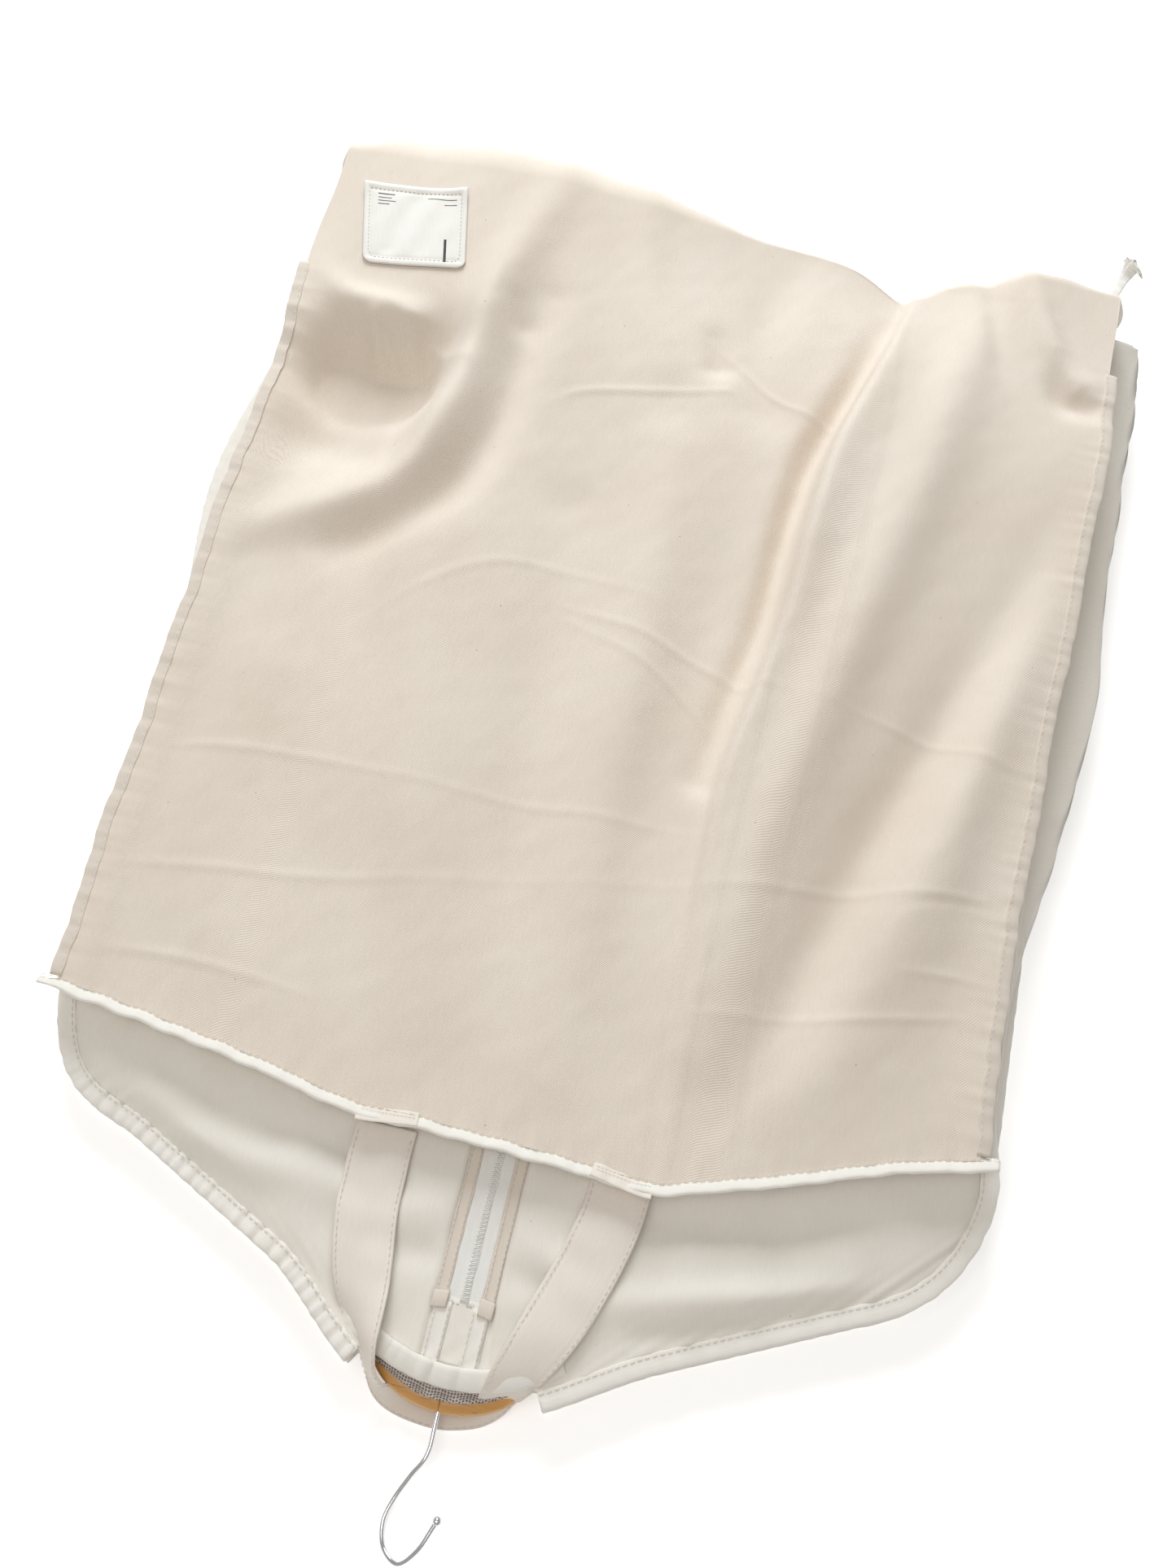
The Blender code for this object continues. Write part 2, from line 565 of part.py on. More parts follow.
def add_hanger():
    """The two wooden halves, which meet at the hook's hole, and the nut that holds the hook."""
    low = CLOTH + HANGER_BACK_GAP
    reach = HANGER_SPAN / 2
    hole = WIRE_RADIUS + HOOK_HOLE_CLEARANCE
    nut_floor = WOOD_PEAK - HOOK_STEM_DEPTH
    for side, word in ((-1, "left"), (1, "right")):
        rings = []
        for k in range(HANGER_STEPS + 1):
            share = k / HANGER_STEPS
            x = SEAM_GAP / 2 + (reach - SEAM_GAP / 2) * share**HANGER_SPACING
            top = hanger_top(x)
            width = HANGER_ARM_WIDTH + HANGER_NECK_FLARE * (1 - share) ** 3
            bottom = min(top - width, UPPER_LENGTH - HANGER_NECK_DEPTH)
            if k == 0:
                bottom = nut_floor + NUT_LENGTH + SEAM_GAP
            thin = HANGER_THINNING * share
            z0, z1 = low + thin, low + HANGER_THICKNESS - thin
            cut = HANGER_ROUNDING
            section = [(top - cut, z1), (top, z1 - cut), (top, z0 + cut), (top - cut, z0),
                       (bottom + cut, z0), (bottom, z0 + cut), (bottom, z1 - cut), (bottom + cut, z1)]
            rings.append([place(side * x, s, z) for s, z in section])
        wood = swept(f"hanger_{word}", rings, "wood", smooth=True)
        cutter = add_hole_cutter(f"hook_hole_{word}", hole, nut_floor - HOOK_HOLE_MARGIN,
                                 WOOD_PEAK + HOOK_HOLE_MARGIN)
        cut = wood.modifiers.new("hook hole", "BOOLEAN")
        cut.operation = "DIFFERENCE"
        cut.solver = "EXACT"
        cut.object = cutter
    add_ring("hook_nut", WIRE_RADIUS + HOOK_HOLE_CLEARANCE, NUT_RADIUS, nut_floor,
             nut_floor + NUT_LENGTH, "nickel")


def add_hole_cutter(name, radius, start, end):
    """A rod along the hook's stem that cuts its hole."""
    turns = [2 * math.pi * k / ROUND_SIDES for k in range(ROUND_SIDES)]
    rings = [[place(radius * math.cos(a), s, STEM_Z + radius * math.sin(a)) for a in turns]
             for s in (start, end)]
    rod = swept(name, rings, "nickel")
    rod.hide_render = True
    rod.display_type = "WIRE"
    return rod


def add_ring(name, inner, outer, start, end, kind):
    """A ring around the hook's stem from s = start to s = end."""
    turns = [2 * math.pi * k / ROUND_SIDES for k in range(ROUND_SIDES)]
    bm = bmesh.new()
    rows = []
    for radius, s in ((inner, start), (outer, start), (outer, end), (inner, end)):
        rows.append([bm.verts.new(place(radius * math.cos(a), s, STEM_Z + radius * math.sin(a)))
                     for a in turns])
    for low, high in zip(rows, rows[1:] + rows[:1]):
        for i in range(ROUND_SIDES):
            j = (i + 1) % ROUND_SIDES
            bm.faces.new((low[i], low[j], high[j], high[i]))
    add_object(name, bm, kind, smooth=True)


def add_hook():
    """The wire hook, with its stem in the wood and a ball on its tip."""
    axis = add_axis("hook_axis", place(0, WOOD_PEAK, STEM_Z))
    flat = [(0.0, -HOOK_STEM_DEPTH)] + HOOK_POINTS
    tilted = [Vector((x * math.cos(HOOK_TILT), -s, x * math.sin(HOOK_TILT))) for x, s in flat]
    route = smooth_route(tilted, HOOK_STEPS)
    turns = [2 * math.pi * k / WIRE_SIDES for k in range(WIRE_SIDES)]
    rings = []
    side_vector = Vector((math.sin(HOOK_TILT), 0, -math.cos(HOOK_TILT)))
    for k, point in enumerate(route):
        ahead = route[min(k + 1, len(route) - 1)] - route[max(k - 1, 0)]
        across = ahead.cross(side_vector).normalized()
        rings.append([axis.location + point
                      + WIRE_RADIUS * (across * math.cos(a) + side_vector * math.sin(a))
                      for a in turns])
    swept("hook_wire", rings, "chrome", axis, smooth=True)
    tip = route[-1] + (route[-1] - route[-2]).normalized() * (BALL_RADIUS + SEAM_GAP)
    bm = bmesh.new()
    bmesh.ops.create_uvsphere(bm, u_segments=12, v_segments=8, radius=BALL_RADIUS)
    bm.transform(Matrix.Translation(axis.location + tip))
    add_object("hook_ball", bm, "chrome", axis, smooth=True)


def add_handle():
    """The carrying strap: two legs from the hem that meet in a loop under the hook's stem."""
    root_s = HEM_MIDDLE + BINDING_WIDTH + STRAP_HINGE_OFFSET
    root_z = flap_bottom(root_s) - SEAM_GAP - STRAP_THICKNESS / 2
    neck_top = front_top(UPPER_LENGTH) + BINDING_THICKNESS / 2 + STRAP_LIFT
    peak = WOOD_PEAK
    half_route = [
        (STRAP_SPREAD, root_s, root_z, STRAP_WIDTH),
        (STRAP_SPREAD - 0.011, root_s + 0.042, root_z + SWEEP_GAP, STRAP_WIDTH),
        (STRAP_SPREAD - 0.023, UPPER_LENGTH - 0.026, neck_top + STRAP_LIFT, STRAP_WIDTH),
        (STRAP_SPREAD - 0.031, UPPER_LENGTH + 0.006, neck_top, 0.032),
        (STRAP_SPREAD - 0.036, peak + 0.002, neck_top - 0.0040, 0.024),
        (STRAP_SPREAD - 0.045, peak + 0.012, STEM_Z, 0.017),
        (STRAP_SPREAD - 0.056, peak + 0.0195, STEM_Z * 0.32, STRAP_LOOP_WIDTH),
        (0.0, peak + 0.0215, STRAP_THICKNESS / 2 + SEAM_GAP, STRAP_LOOP_WIDTH),
    ]
    full = half_route + [(-x, s, z, w) for x, s, z, w in half_route[-2::-1]]
    centres = smooth_route([place(x, s, z) for x, s, z, _ in full], STRAP_STEPS)
    widths = [p.x for p in smooth_route([(w, 0, 0) for *_, w in full], STRAP_STEPS)]
    axis = add_axis("handle_axis", place(0, root_s, root_z))
    rings = []
    for k, (centre, width) in enumerate(zip(centres, widths)):
        ahead = centres[min(k + 1, len(centres) - 1)] - centres[max(k - 1, 0)]
        across = Vector((ahead.y, -ahead.x, 0)).normalized()
        if k in (0, len(centres) - 1):
            across = Vector((-1, 0, 0))
        normal = ahead.normalized().cross(across).normalized()
        half = across * width / 2
        thick = normal * STRAP_THICKNESS / 2
        rings.append([centre - half - thick, centre + half - thick,
                      centre + half + thick, centre - half + thick])
    swept("handle_strap", rings, "canvas", axis)


def main():
    """Clear the scene and build every piece."""
    for old in list(bpy.data.objects):
        bpy.data.objects.remove(old, do_unlink=True)
    add_upper_panels()
    add_gussets()
    add_side_zip()
    add_front_zip()
    add_neck_bindings()
    add_hanger()
    add_hook()
    add_flap(add_axis("flap_axis", place(0, 0, FOLD_RADIUS)))
    add_fold(add_axis("roll_axis", place(0, 0, FOLD_RADIUS)))
    add_handle()


main()
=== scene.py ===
import json
import math

import bmesh
import bpy
import numpy as np
from mathutils import Matrix

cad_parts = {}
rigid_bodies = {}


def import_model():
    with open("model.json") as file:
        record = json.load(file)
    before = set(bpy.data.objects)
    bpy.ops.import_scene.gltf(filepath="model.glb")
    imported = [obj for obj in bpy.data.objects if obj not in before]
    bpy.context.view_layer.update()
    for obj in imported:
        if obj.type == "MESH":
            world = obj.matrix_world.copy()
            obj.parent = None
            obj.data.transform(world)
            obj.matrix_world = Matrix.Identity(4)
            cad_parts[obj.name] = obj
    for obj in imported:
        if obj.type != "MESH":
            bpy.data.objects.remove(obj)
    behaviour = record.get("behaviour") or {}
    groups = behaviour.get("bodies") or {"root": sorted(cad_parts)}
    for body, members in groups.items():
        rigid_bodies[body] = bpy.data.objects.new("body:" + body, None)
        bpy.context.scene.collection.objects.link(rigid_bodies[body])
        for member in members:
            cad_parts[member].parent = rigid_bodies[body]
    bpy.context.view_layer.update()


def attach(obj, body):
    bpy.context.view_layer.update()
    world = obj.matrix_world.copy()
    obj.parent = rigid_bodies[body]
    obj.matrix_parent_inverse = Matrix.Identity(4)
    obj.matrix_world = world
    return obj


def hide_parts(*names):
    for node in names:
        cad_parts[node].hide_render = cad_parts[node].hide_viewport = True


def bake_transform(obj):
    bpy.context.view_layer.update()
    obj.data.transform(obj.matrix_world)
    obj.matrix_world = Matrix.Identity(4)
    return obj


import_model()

# Places along the bag are s, the distance from the fold axis towards the hook. Metres throughout.
FOLD_Y = 0.43805
SEAM = 0.292
FOLD_Z = 0.050
UPPER_LENGTH = 0.818
WOOD_PEAK = 0.841
STEM_Z = 0.011
FRONT_SLOPE = 0.0301956
BACK_SLOPE = 0.08588
LAYER_GAP = 0.0036
SHOULDER_SLOPE = math.radians(25.5)
SHOULDER_RADIUS = 0.110
NECK_HALF = 0.055

# The front zip: half the opening between the cloths, and the places where it starts and ends
ZIP_HALF = 0.0172
ZIP_START = 0.046
TAB_HALF = 0.0176
# The side zip: its height over the floor, its lowest point and the tapes' place inside the seam
SIDE_ZIP_Z = 0.0181
SIDE_ZIP_END = 0.398
SIDE_TAPE_X = SEAM - 0.0026
SIDE_LIP_X = SEAM - 0.0032
# Furthest place that the bulging wall may reach
WALL_LIMIT = 0.3265
WALL_THICK = 0.0008

# Lengths of single stitches and sizes of the zips' teeth (length, radius) and their spacing
BINDING_STITCH = 0.0032
HEM_STITCH = 0.0034
ZIP_STITCH = 0.0026
STRAP_STITCH = 0.0030
LABEL_STITCH = 0.0022
BAR_STITCH = 0.0020
CORE_STITCH = 0.0021
SIDE_TOOTH = (0.0022, 0.00042)
SIDE_PITCH = 0.0013
FRONT_TOOTH = (0.0034, 0.00046)
FRONT_PITCH = 0.00125

SIDES = ((-1, "left"), (1, "right"))
UP = (0.0, 0.0, 1.0)
OUT = (1.0, 0.0, 0.0)


# ---------------------------------------------------------------- shapes as arrays

def rows_of(*columns):
    """Points from sideways place, place along the bag and height, as (…, 3) in the frame."""
    x, s, z = np.broadcast_arrays(*[np.asarray(c, float) for c in columns])
    return np.stack([x, FOLD_Y - s, z], -1)


def curve(points, count):
    """Catmull-Rom curve through the points at an even spacing of its parameter."""
    p = np.asarray(points, float)
    ends = np.vstack([2 * p[0] - p[1], p, 2 * p[-1] - p[-2]])
    u = np.linspace(0, len(p) - 1, count)
    k = np.minimum(u.astype(int), len(p) - 2)
    t = (u - k)[:, None]
    a, b, c, d = ends[k], ends[k + 1], ends[k + 2], ends[k + 3]
    return 0.5 * (2 * b + (c - a) * t + (2 * a - 5 * b + 4 * c - d) * t**2
                  + (3 * b - a - 3 * c + d) * t**3)


def bump_at(v, centre, width):
    """A smooth hump: exp of minus the squared distance over the width."""
    return np.exp(-(((v - centre) / width) ** 2))


def ramp(v, low, high):
    """Smooth step from 0 at low to 1 at high."""
    t = np.clip((v - low) / (high - low), 0, 1)
    return t * t * (3 - 2 * t)


def same(direction, count):
    """One direction for every point of a route."""
    return np.tile(np.array(direction, float), (count, 1))


def run_of(route):
    """Length run along a route up to each of its points."""
    return np.concatenate([[0], np.cumsum(np.linalg.norm(np.diff(route, axis=0), axis=1))])


def through(v, places, values):
    """Smooth curve through values given at places: linear pieces, rounded by averaging shifts."""
    shifts = np.linspace(-0.012, 0.012, 7)
    return sum(np.interp(v + h, places, values) for h in shifts) / len(shifts)


def ripple(t, seed, shortest=0.007, longest=0.022, waves=6):
    """Uneven wave along t: a sum of sines with seeded lengths and starts, about -1 to 1."""
    rng = np.random.default_rng(seed)
    lengths = rng.uniform(shortest, longest, waves)
    starts = rng.uniform(0, 2 * np.pi, waves)
    return sum(np.sin(2 * np.pi * t / n + p) for n, p in zip(lengths, starts)) / math.sqrt(waves)


def swell(x, s, seed, shortest=0.05, longest=0.16, waves=9):
    """Uneven surface: a sum of sine waves in seeded directions, about -1 to 1."""
    rng = np.random.default_rng(seed)
    total = 0
    for _ in range(waves):
        length, way, start = rng.uniform(shortest, longest), rng.uniform(0, np.pi), rng.uniform(0, 6.3)
        total = total + np.sin(2 * np.pi * (x * math.cos(way) + s * math.sin(way)) / length + start)
    return total / math.sqrt(waves)


def nearest(x, s, path):
    """Signed distance to a path, positive on its +x side, and the share of the way along it."""
    best = np.full(x.shape, np.inf)
    side = np.zeros(x.shape)
    share = np.zeros(x.shape)
    last = len(path) - 1
    for i in range(last):
        a, way = path[i, :2], path[i + 1, :2] - path[i, :2]
        t = np.clip(((x - a[0]) * way[0] + (s - a[1]) * way[1]) / (way @ way), 0, 1)
        dx, ds = x - (a[0] + t * way[0]), s - (a[1] + t * way[1])
        gap = np.hypot(dx, ds)
        near = gap < best
        best = np.where(near, gap, best)
        side = np.where(near, np.sign(dx * way[1] - ds * way[0]), side)
        share = np.where(near, (i + t) / last, share)
    return best * side, share


def fold_relief(x, s, folds):
    """Height of a list of folds. Each is (kind, [(x, s, height)], width, fall-off).

    A round fold is a hump across its path. A pleat is a step up on its +x side that falls off
    exponentially, and a press is a narrow hump, as an iron leaves.
    """
    x, s = np.broadcast_arrays(x, s)
    total = np.zeros(x.shape)
    for kind, points, width, fall in folds:
        path = curve(points, 6 * len(points))
        d, share = nearest(x, s, path)
        height = np.interp(share, np.linspace(0, 1, len(path)), path[:, 2])
        if kind == "pleat":
            total += height * (0.5 + 0.5 * np.tanh(d / width)) * np.exp(-np.maximum(d, 0) / fall)
        else:
            total += height * np.exp(-((d / width) ** 2))
    return total


# ---------------------------------------------------------------- meshes

def quads(rows, cols, close_cols=False, start=0):
    """Faces of a grid stored row by row, turned so that +x across and +s along face up."""
    i = np.arange(rows - 1)[:, None]
    j = np.arange(cols if close_cols else cols - 1)[None, :]
    i2, j2 = (i + 1) % rows, (j + 1) % cols
    corner = [i * cols + j, i2 * cols + j, i2 * cols + j2, i * cols + j2]
    return start + np.stack(np.broadcast_arrays(*corner), -1).reshape(-1, 4)


def make(name, points, faces, finish, body, nodes=(), weave=None):
    """Put arrays of points and of four-cornered faces into a mesh, and say what it rides on."""
    points = np.asarray(points, np.float32).reshape(-1, 3)
    faces = np.asarray(faces, np.int32)
    mesh = bpy.data.meshes.new(name)
    mesh.vertices.add(len(points))
    mesh.vertices.foreach_set("co", points.ravel())
    mesh.loops.add(faces.size)
    mesh.loops.foreach_set("vertex_index", faces.ravel())
    mesh.polygons.add(len(faces))
    size = faces.shape[1]
    mesh.polygons.foreach_set("loop_start", np.arange(len(faces), dtype=np.int32) * size)
    mesh.polygons.foreach_set("loop_total", np.full(len(faces), size, np.int32))
    mesh.update(calc_edges=True)
    mesh.validate()
    mesh.shade_smooth()
    if weave is None:
        weave = points * [1, -1, 1]
    layer = mesh.attributes.new("weave", "FLOAT_VECTOR", "POINT")
    layer.data.foreach_set("vector", np.asarray(weave, np.float32).ravel())
    mesh.materials.append(finish)
    piece = bpy.data.objects.new(name, mesh)
    bpy.context.scene.collection.objects.link(piece)
    if body:
        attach(piece, body)
    if nodes:
        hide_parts(*nodes)
    return piece


def normals_of(grid):
    """Unit normals of a grid of points: the cross product of its two directions."""
    along = np.gradient(grid, axis=0)
    across = np.gradient(grid, axis=1)
    n = np.cross(along, across)
    return n / np.maximum(np.linalg.norm(n, axis=-1, keepdims=True), 1e-12)


def flat_weave(grid):
    """Place in the cloth: length run along each row and each column, in metres."""
    across = np.linalg.norm(np.diff(grid, axis=1), axis=-1)
    along = np.linalg.norm(np.diff(grid, axis=0), axis=-1)
    u = np.concatenate([np.zeros((len(grid), 1)), np.cumsum(across, 1)], 1)
    v = np.concatenate([np.zeros((1, grid.shape[1])), np.cumsum(along, 0)], 0)
    u = u - u.mean(1, keepdims=True)
    return np.stack([u, v, np.zeros_like(u)], -1)


def shell(name, grid, thickness, finish, body, nodes=(), weave=None):
    """A closed sheet: the grid, its copy set back along its normals, and a rim between them."""
    rows, cols = grid.shape[:2]
    back = grid - normals_of(grid) * thickness
    top = quads(rows, cols)
    under = quads(rows, cols, start=rows * cols)[:, ::-1]
    ring = np.concatenate([np.arange(cols), cols * np.arange(1, rows) + cols - 1,
                           cols * (rows - 1) + np.arange(cols - 2, -1, -1),
                           cols * np.arange(rows - 2, 0, -1)])
    after = np.roll(ring, -1)
    rim = np.stack([ring, after, after + rows * cols, ring + rows * cols], -1)
    weave = flat_weave(grid) if weave is None else weave
    both = np.concatenate([weave.reshape(-1, 3)] * 2)
    return make(name, np.concatenate([grid.reshape(-1, 3), back.reshape(-1, 3)]),
                np.concatenate([top, under, rim]), finish, body, nodes, both)


def tube(name, rings, finish, body, nodes=()):
    """A closed tube through rings of points, its ends shut by a point in the middle of each."""
    sides = rings.shape[1]
    first = np.repeat(rings[:1].mean(1, keepdims=True), sides, 1)
    last = np.repeat(rings[-1:].mean(1, keepdims=True), sides, 1)
    rings = np.concatenate([first, rings, last])
    count = len(rings)
    run = run_of(rings.mean(1))
    edge = np.linalg.norm(np.roll(rings, -1, 1) - rings, axis=-1)
    turn = np.concatenate([np.zeros((count, 1)), np.cumsum(edge, 1)[:, :-1]], 1)
    weave = np.stack([turn, np.repeat(run[:, None], sides, 1), np.zeros_like(turn)], -1)
    piece = make(name, rings, quads(count, sides, close_cols=True)[:, ::-1], finish, body,
                 nodes, weave)
    merge(piece)
    return piece


def merge(piece):
    """Join the points that lie on each other, so that seams and poles are closed."""
    bm = bmesh.new()
    bm.from_mesh(piece.data)
    bmesh.ops.remove_doubles(bm, verts=bm.verts, dist=1e-7)
    bmesh.ops.dissolve_degenerate(bm, edges=bm.edges, dist=1e-8)
    bmesh.ops.recalc_face_normals(bm, faces=bm.faces)
    bm.to_mesh(piece.data)
    bm.free()


def frames(route, up):
    """Along, across and up for each point of a route, with up leaning as given."""
    along = np.gradient(route, axis=0)
    along /= np.linalg.norm(along, axis=1, keepdims=True)
    across = np.cross(along, up)
    across /= np.linalg.norm(across, axis=1, keepdims=True)
    return along, across, np.cross(across, along)


def ribbon_rings(route, across, up, width, thickness, sides=16, groove=None, wave=None):
    """Rings of a soft flat band: a squared ellipse carried along the route.

    A groove is the place of a seam line across the band, from -1 to 1, where the band is pressed
    thinner. The wave swells and narrows the band along its length.
    """
    a = 2 * np.pi * np.arange(sides) / sides
    c = np.sign(np.cos(a)) * np.abs(np.cos(a)) ** 0.55
    h = np.sign(np.sin(a)) * np.abs(np.sin(a)) ** 0.8
    width = np.broadcast_to(width, len(route))[:, None]
    thickness = np.broadcast_to(thickness, len(route))[:, None]
    lift = np.ones((len(route), sides))
    if wave is not None:
        lift = lift + 0.10 * wave[:, None] * (0.5 + 0.5 * c)
        width = width * (1 + 0.03 * np.roll(wave, 7)[:, None])
    if groove is not None:
        lift = lift * (1 - 0.55 * np.exp(-(((c - groove) / 0.22) ** 2)))
    return (route[:, None] + across[:, None] * (c * width / 2)[..., None]
            + up[:, None] * (h * lift * thickness / 2)[..., None])


CAPSULE_SIDES = 6


def capsules(name, at, ways, reach, fat, dip, finish, body, nodes=()):
    """Many small six-sided capsules: rings at each reach along, as fat and as far down as given."""
    along, across, lift = [way[:, None, None] for way in ways]
    a = 2 * np.pi * np.arange(CAPSULE_SIDES) / CAPSULE_SIDES
    rings = (at[:, None, None] + along * reach[None, :, None, None]
             + lift * (dip[None, :, None, None] + (fat[:, None] * np.sin(a))[None, ..., None])
             + across * (fat[:, None] * np.cos(a))[None, ..., None])
    rows = len(reach)
    k = (rows - 1) * CAPSULE_SIDES
    one = np.concatenate([quads(rows, CAPSULE_SIDES, close_cols=True), [[0, 1, 2, 3], [0, 3, 4, 5]],
                          [[k, k + 3, k + 2, k + 1], [k, k + 5, k + 4, k + 3]]])
    faces = (one[None] + (np.arange(len(at)) * rows * CAPSULE_SIDES)[:, None, None]).reshape(-1, 4)
    return make(name, rings, faces, finish, body, nodes)


def stitches(name, route, up, length, finish, body, gap=0.45, radius=0.00028):
    """A row of sewn stitches: small round capsules along the route, dipping at both ends."""
    sink = 0.0002
    span = run_of(route)
    count = max(2, int(span[-1] / (length * (1 + gap))))
    middle = (np.arange(count) + 0.5) * span[-1] / count
    at = np.stack([np.interp(middle, span, route[:, i]) for i in range(3)], -1)
    ahead = np.stack([np.interp(middle + length / 2, span, route[:, i]) for i in range(3)], -1)
    along = ahead - at
    along /= np.maximum(np.linalg.norm(along, axis=1, keepdims=True), 1e-9)
    lift = np.stack([np.interp(middle, span, up[:, i]) for i in range(3)], -1)
    across = np.cross(along, lift)
    across /= np.linalg.norm(across, axis=1, keepdims=True)
    reach = np.array([-0.5, -0.42, 0, 0.42, 0.5]) * length
    fat = np.array([0.15, 0.8, 1.0, 0.8, 0.15]) * radius
    dip = np.array([-1.0, -0.4, 0.5, -0.4, -1.0]) * sink
    return capsules(name, at, (along, across, lift), reach, fat, dip, finish, body)


def bars(name, at, along, lift, size, finish, body, nodes=()):
    """Many small round bars of one size (length, radius), each at a point along its own direction."""
    reach = np.array([-0.5, -0.42, 0.42, 0.5]) * size[0]
    fat = np.array([0.3, 1.0, 1.0, 0.3]) * size[1]
    ways = along, np.cross(along, lift), lift
    return capsules(name, at, ways, reach, fat, np.zeros(4), finish, body, nodes)


# ---------------------------------------------------------------- finishes

def socket_group(name, inputs, outputs):
    """An empty node group with named value, colour and vector sockets."""
    group = bpy.data.node_groups.new(name, "ShaderNodeTree")
    for side, sockets in (("INPUT", inputs), ("OUTPUT", outputs)):
        for label, kind, value in sockets:
            made = group.interface.new_socket(label, in_out=side, socket_type=kind)
            if value is not None and side == "INPUT":
                made.default_value = value
    ends = group.nodes.new("NodeGroupInput"), group.nodes.new("NodeGroupOutput")
    return group, ends[0], ends[1]


class Nodes:
    """Short ways to add nodes to one tree and to link them."""

    def __init__(self, tree):
        self.tree = tree

    def add(self, kind, **settings):
        node = self.tree.nodes.new(kind)
        for key, value in settings.items():
            setattr(node, key, value)
        return node

    def put(self, value, socket):
        if isinstance(value, bpy.types.NodeSocket):
            self.tree.links.new(value, socket)
        else:
            socket.default_value = value

    def math(self, operation, a, b=0.0):
        node = self.add("ShaderNodeMath", operation=operation)
        self.put(a, node.inputs[0])
        self.put(b, node.inputs[1])
        return node.outputs[0]

    def vector(self, operation, a, b):
        node = self.add("ShaderNodeVectorMath", operation=operation)
        self.put(a, node.inputs[0])
        self.put(b, node.inputs[1])
        return node.outputs[0]

    def noise(self, place, scale, detail=2.0, rough=0.5):
        node = self.add("ShaderNodeTexNoise")
        self.put(place, node.inputs["Vector"])
        node.inputs["Scale"].default_value = scale
        node.inputs["Detail"].default_value = detail
        node.inputs["Roughness"].default_value = rough
        return node.outputs["Fac"]

    def span(self, value, low, high, to_low=0.0, to_high=1.0):
        node = self.add("ShaderNodeMapRange")
        for socket, v in zip(node.inputs, (value, low, high, to_low, to_high)):
            self.put(v, socket)
        return node.outputs[0]

    def mix(self, share, a, b, blend="MIX"):
        node = self.add("ShaderNodeMix", data_type="RGBA", blend_type=blend)
        self.put(share, node.inputs[0])
        self.put(a, node.inputs[6])
        self.put(b, node.inputs[7])
        return node.outputs[2]

    def in_cloth(self):
        return self.add("ShaderNodeAttribute", attribute_name="weave").outputs["Vector"]

    def in_object(self):
        return self.add("ShaderNodeTexCoord").outputs["Object"]

    def bump(self, height, distance, shader):
        node = self.add("ShaderNodeBump")
        node.inputs["Distance"].default_value = distance
        self.put(height, node.inputs["Height"])
        self.put(node.outputs["Normal"], shader.inputs["Normal"])
        return node


def new_finish(name):
    """A new material with its nodes and its shader."""
    material = bpy.data.materials.new(name)
    material.use_nodes = True
    return material, Nodes(material.node_tree), material.node_tree.nodes["Principled BSDF"]


def weave_group():
    """Twill: rounded diagonal ribs crossed by single threads, with slubs and loose fuzz; its Shade is the height
    as painted shade.
    """
    group, gin, gout = socket_group(
        "twill weave",
        [("Place", "NodeSocketVector", None), ("Pitch", "NodeSocketFloat", 1.0)],
        [("Height", "NodeSocketFloat", None), ("Shade", "NodeSocketFloat", None)])
    n = Nodes(group)
    place = gin.outputs["Place"]
    axes = n.add("ShaderNodeSeparateXYZ")
    n.put(place, axes.inputs[0])
    wander = n.math("MULTIPLY", n.math("SUBTRACT", n.noise(place, 60, 2), 0.5), 0.0022)
    lean = n.math("MULTIPLY", axes.outputs[1], 0.78)
    diagonal = n.math("ADD", n.math("ADD", axes.outputs[0], lean), wander)
    turns = n.math("DIVIDE", diagonal, gin.outputs["Pitch"])
    rib = n.math("SINE", n.math("MULTIPLY", turns, 2 * math.pi))
    picks = n.math("DIVIDE", axes.outputs[0], gin.outputs["Pitch"])
    thread = n.math("SINE", n.math("MULTIPLY", picks, 4 * math.pi))
    stretched = n.vector("MULTIPLY", place, (900, 90, 1))
    slub = n.noise(stretched, 1, 3)
    fuzz = n.noise(place, 1500, 3)
    height = n.math("ADD", n.math("MULTIPLY", rib, 0.42), n.math("MULTIPLY", thread, 0.13))
    height = n.math("ADD", height, n.math("MULTIPLY", n.math("SUBTRACT", slub, 0.5), 1.1))
    height = n.math("ADD", height, n.math("MULTIPLY", n.math("SUBTRACT", fuzz, 0.5), 1.0))
    n.put(height, gout.inputs["Height"])
    n.put(n.span(height, -0.9, 0.9), gout.inputs["Shade"])
    return group


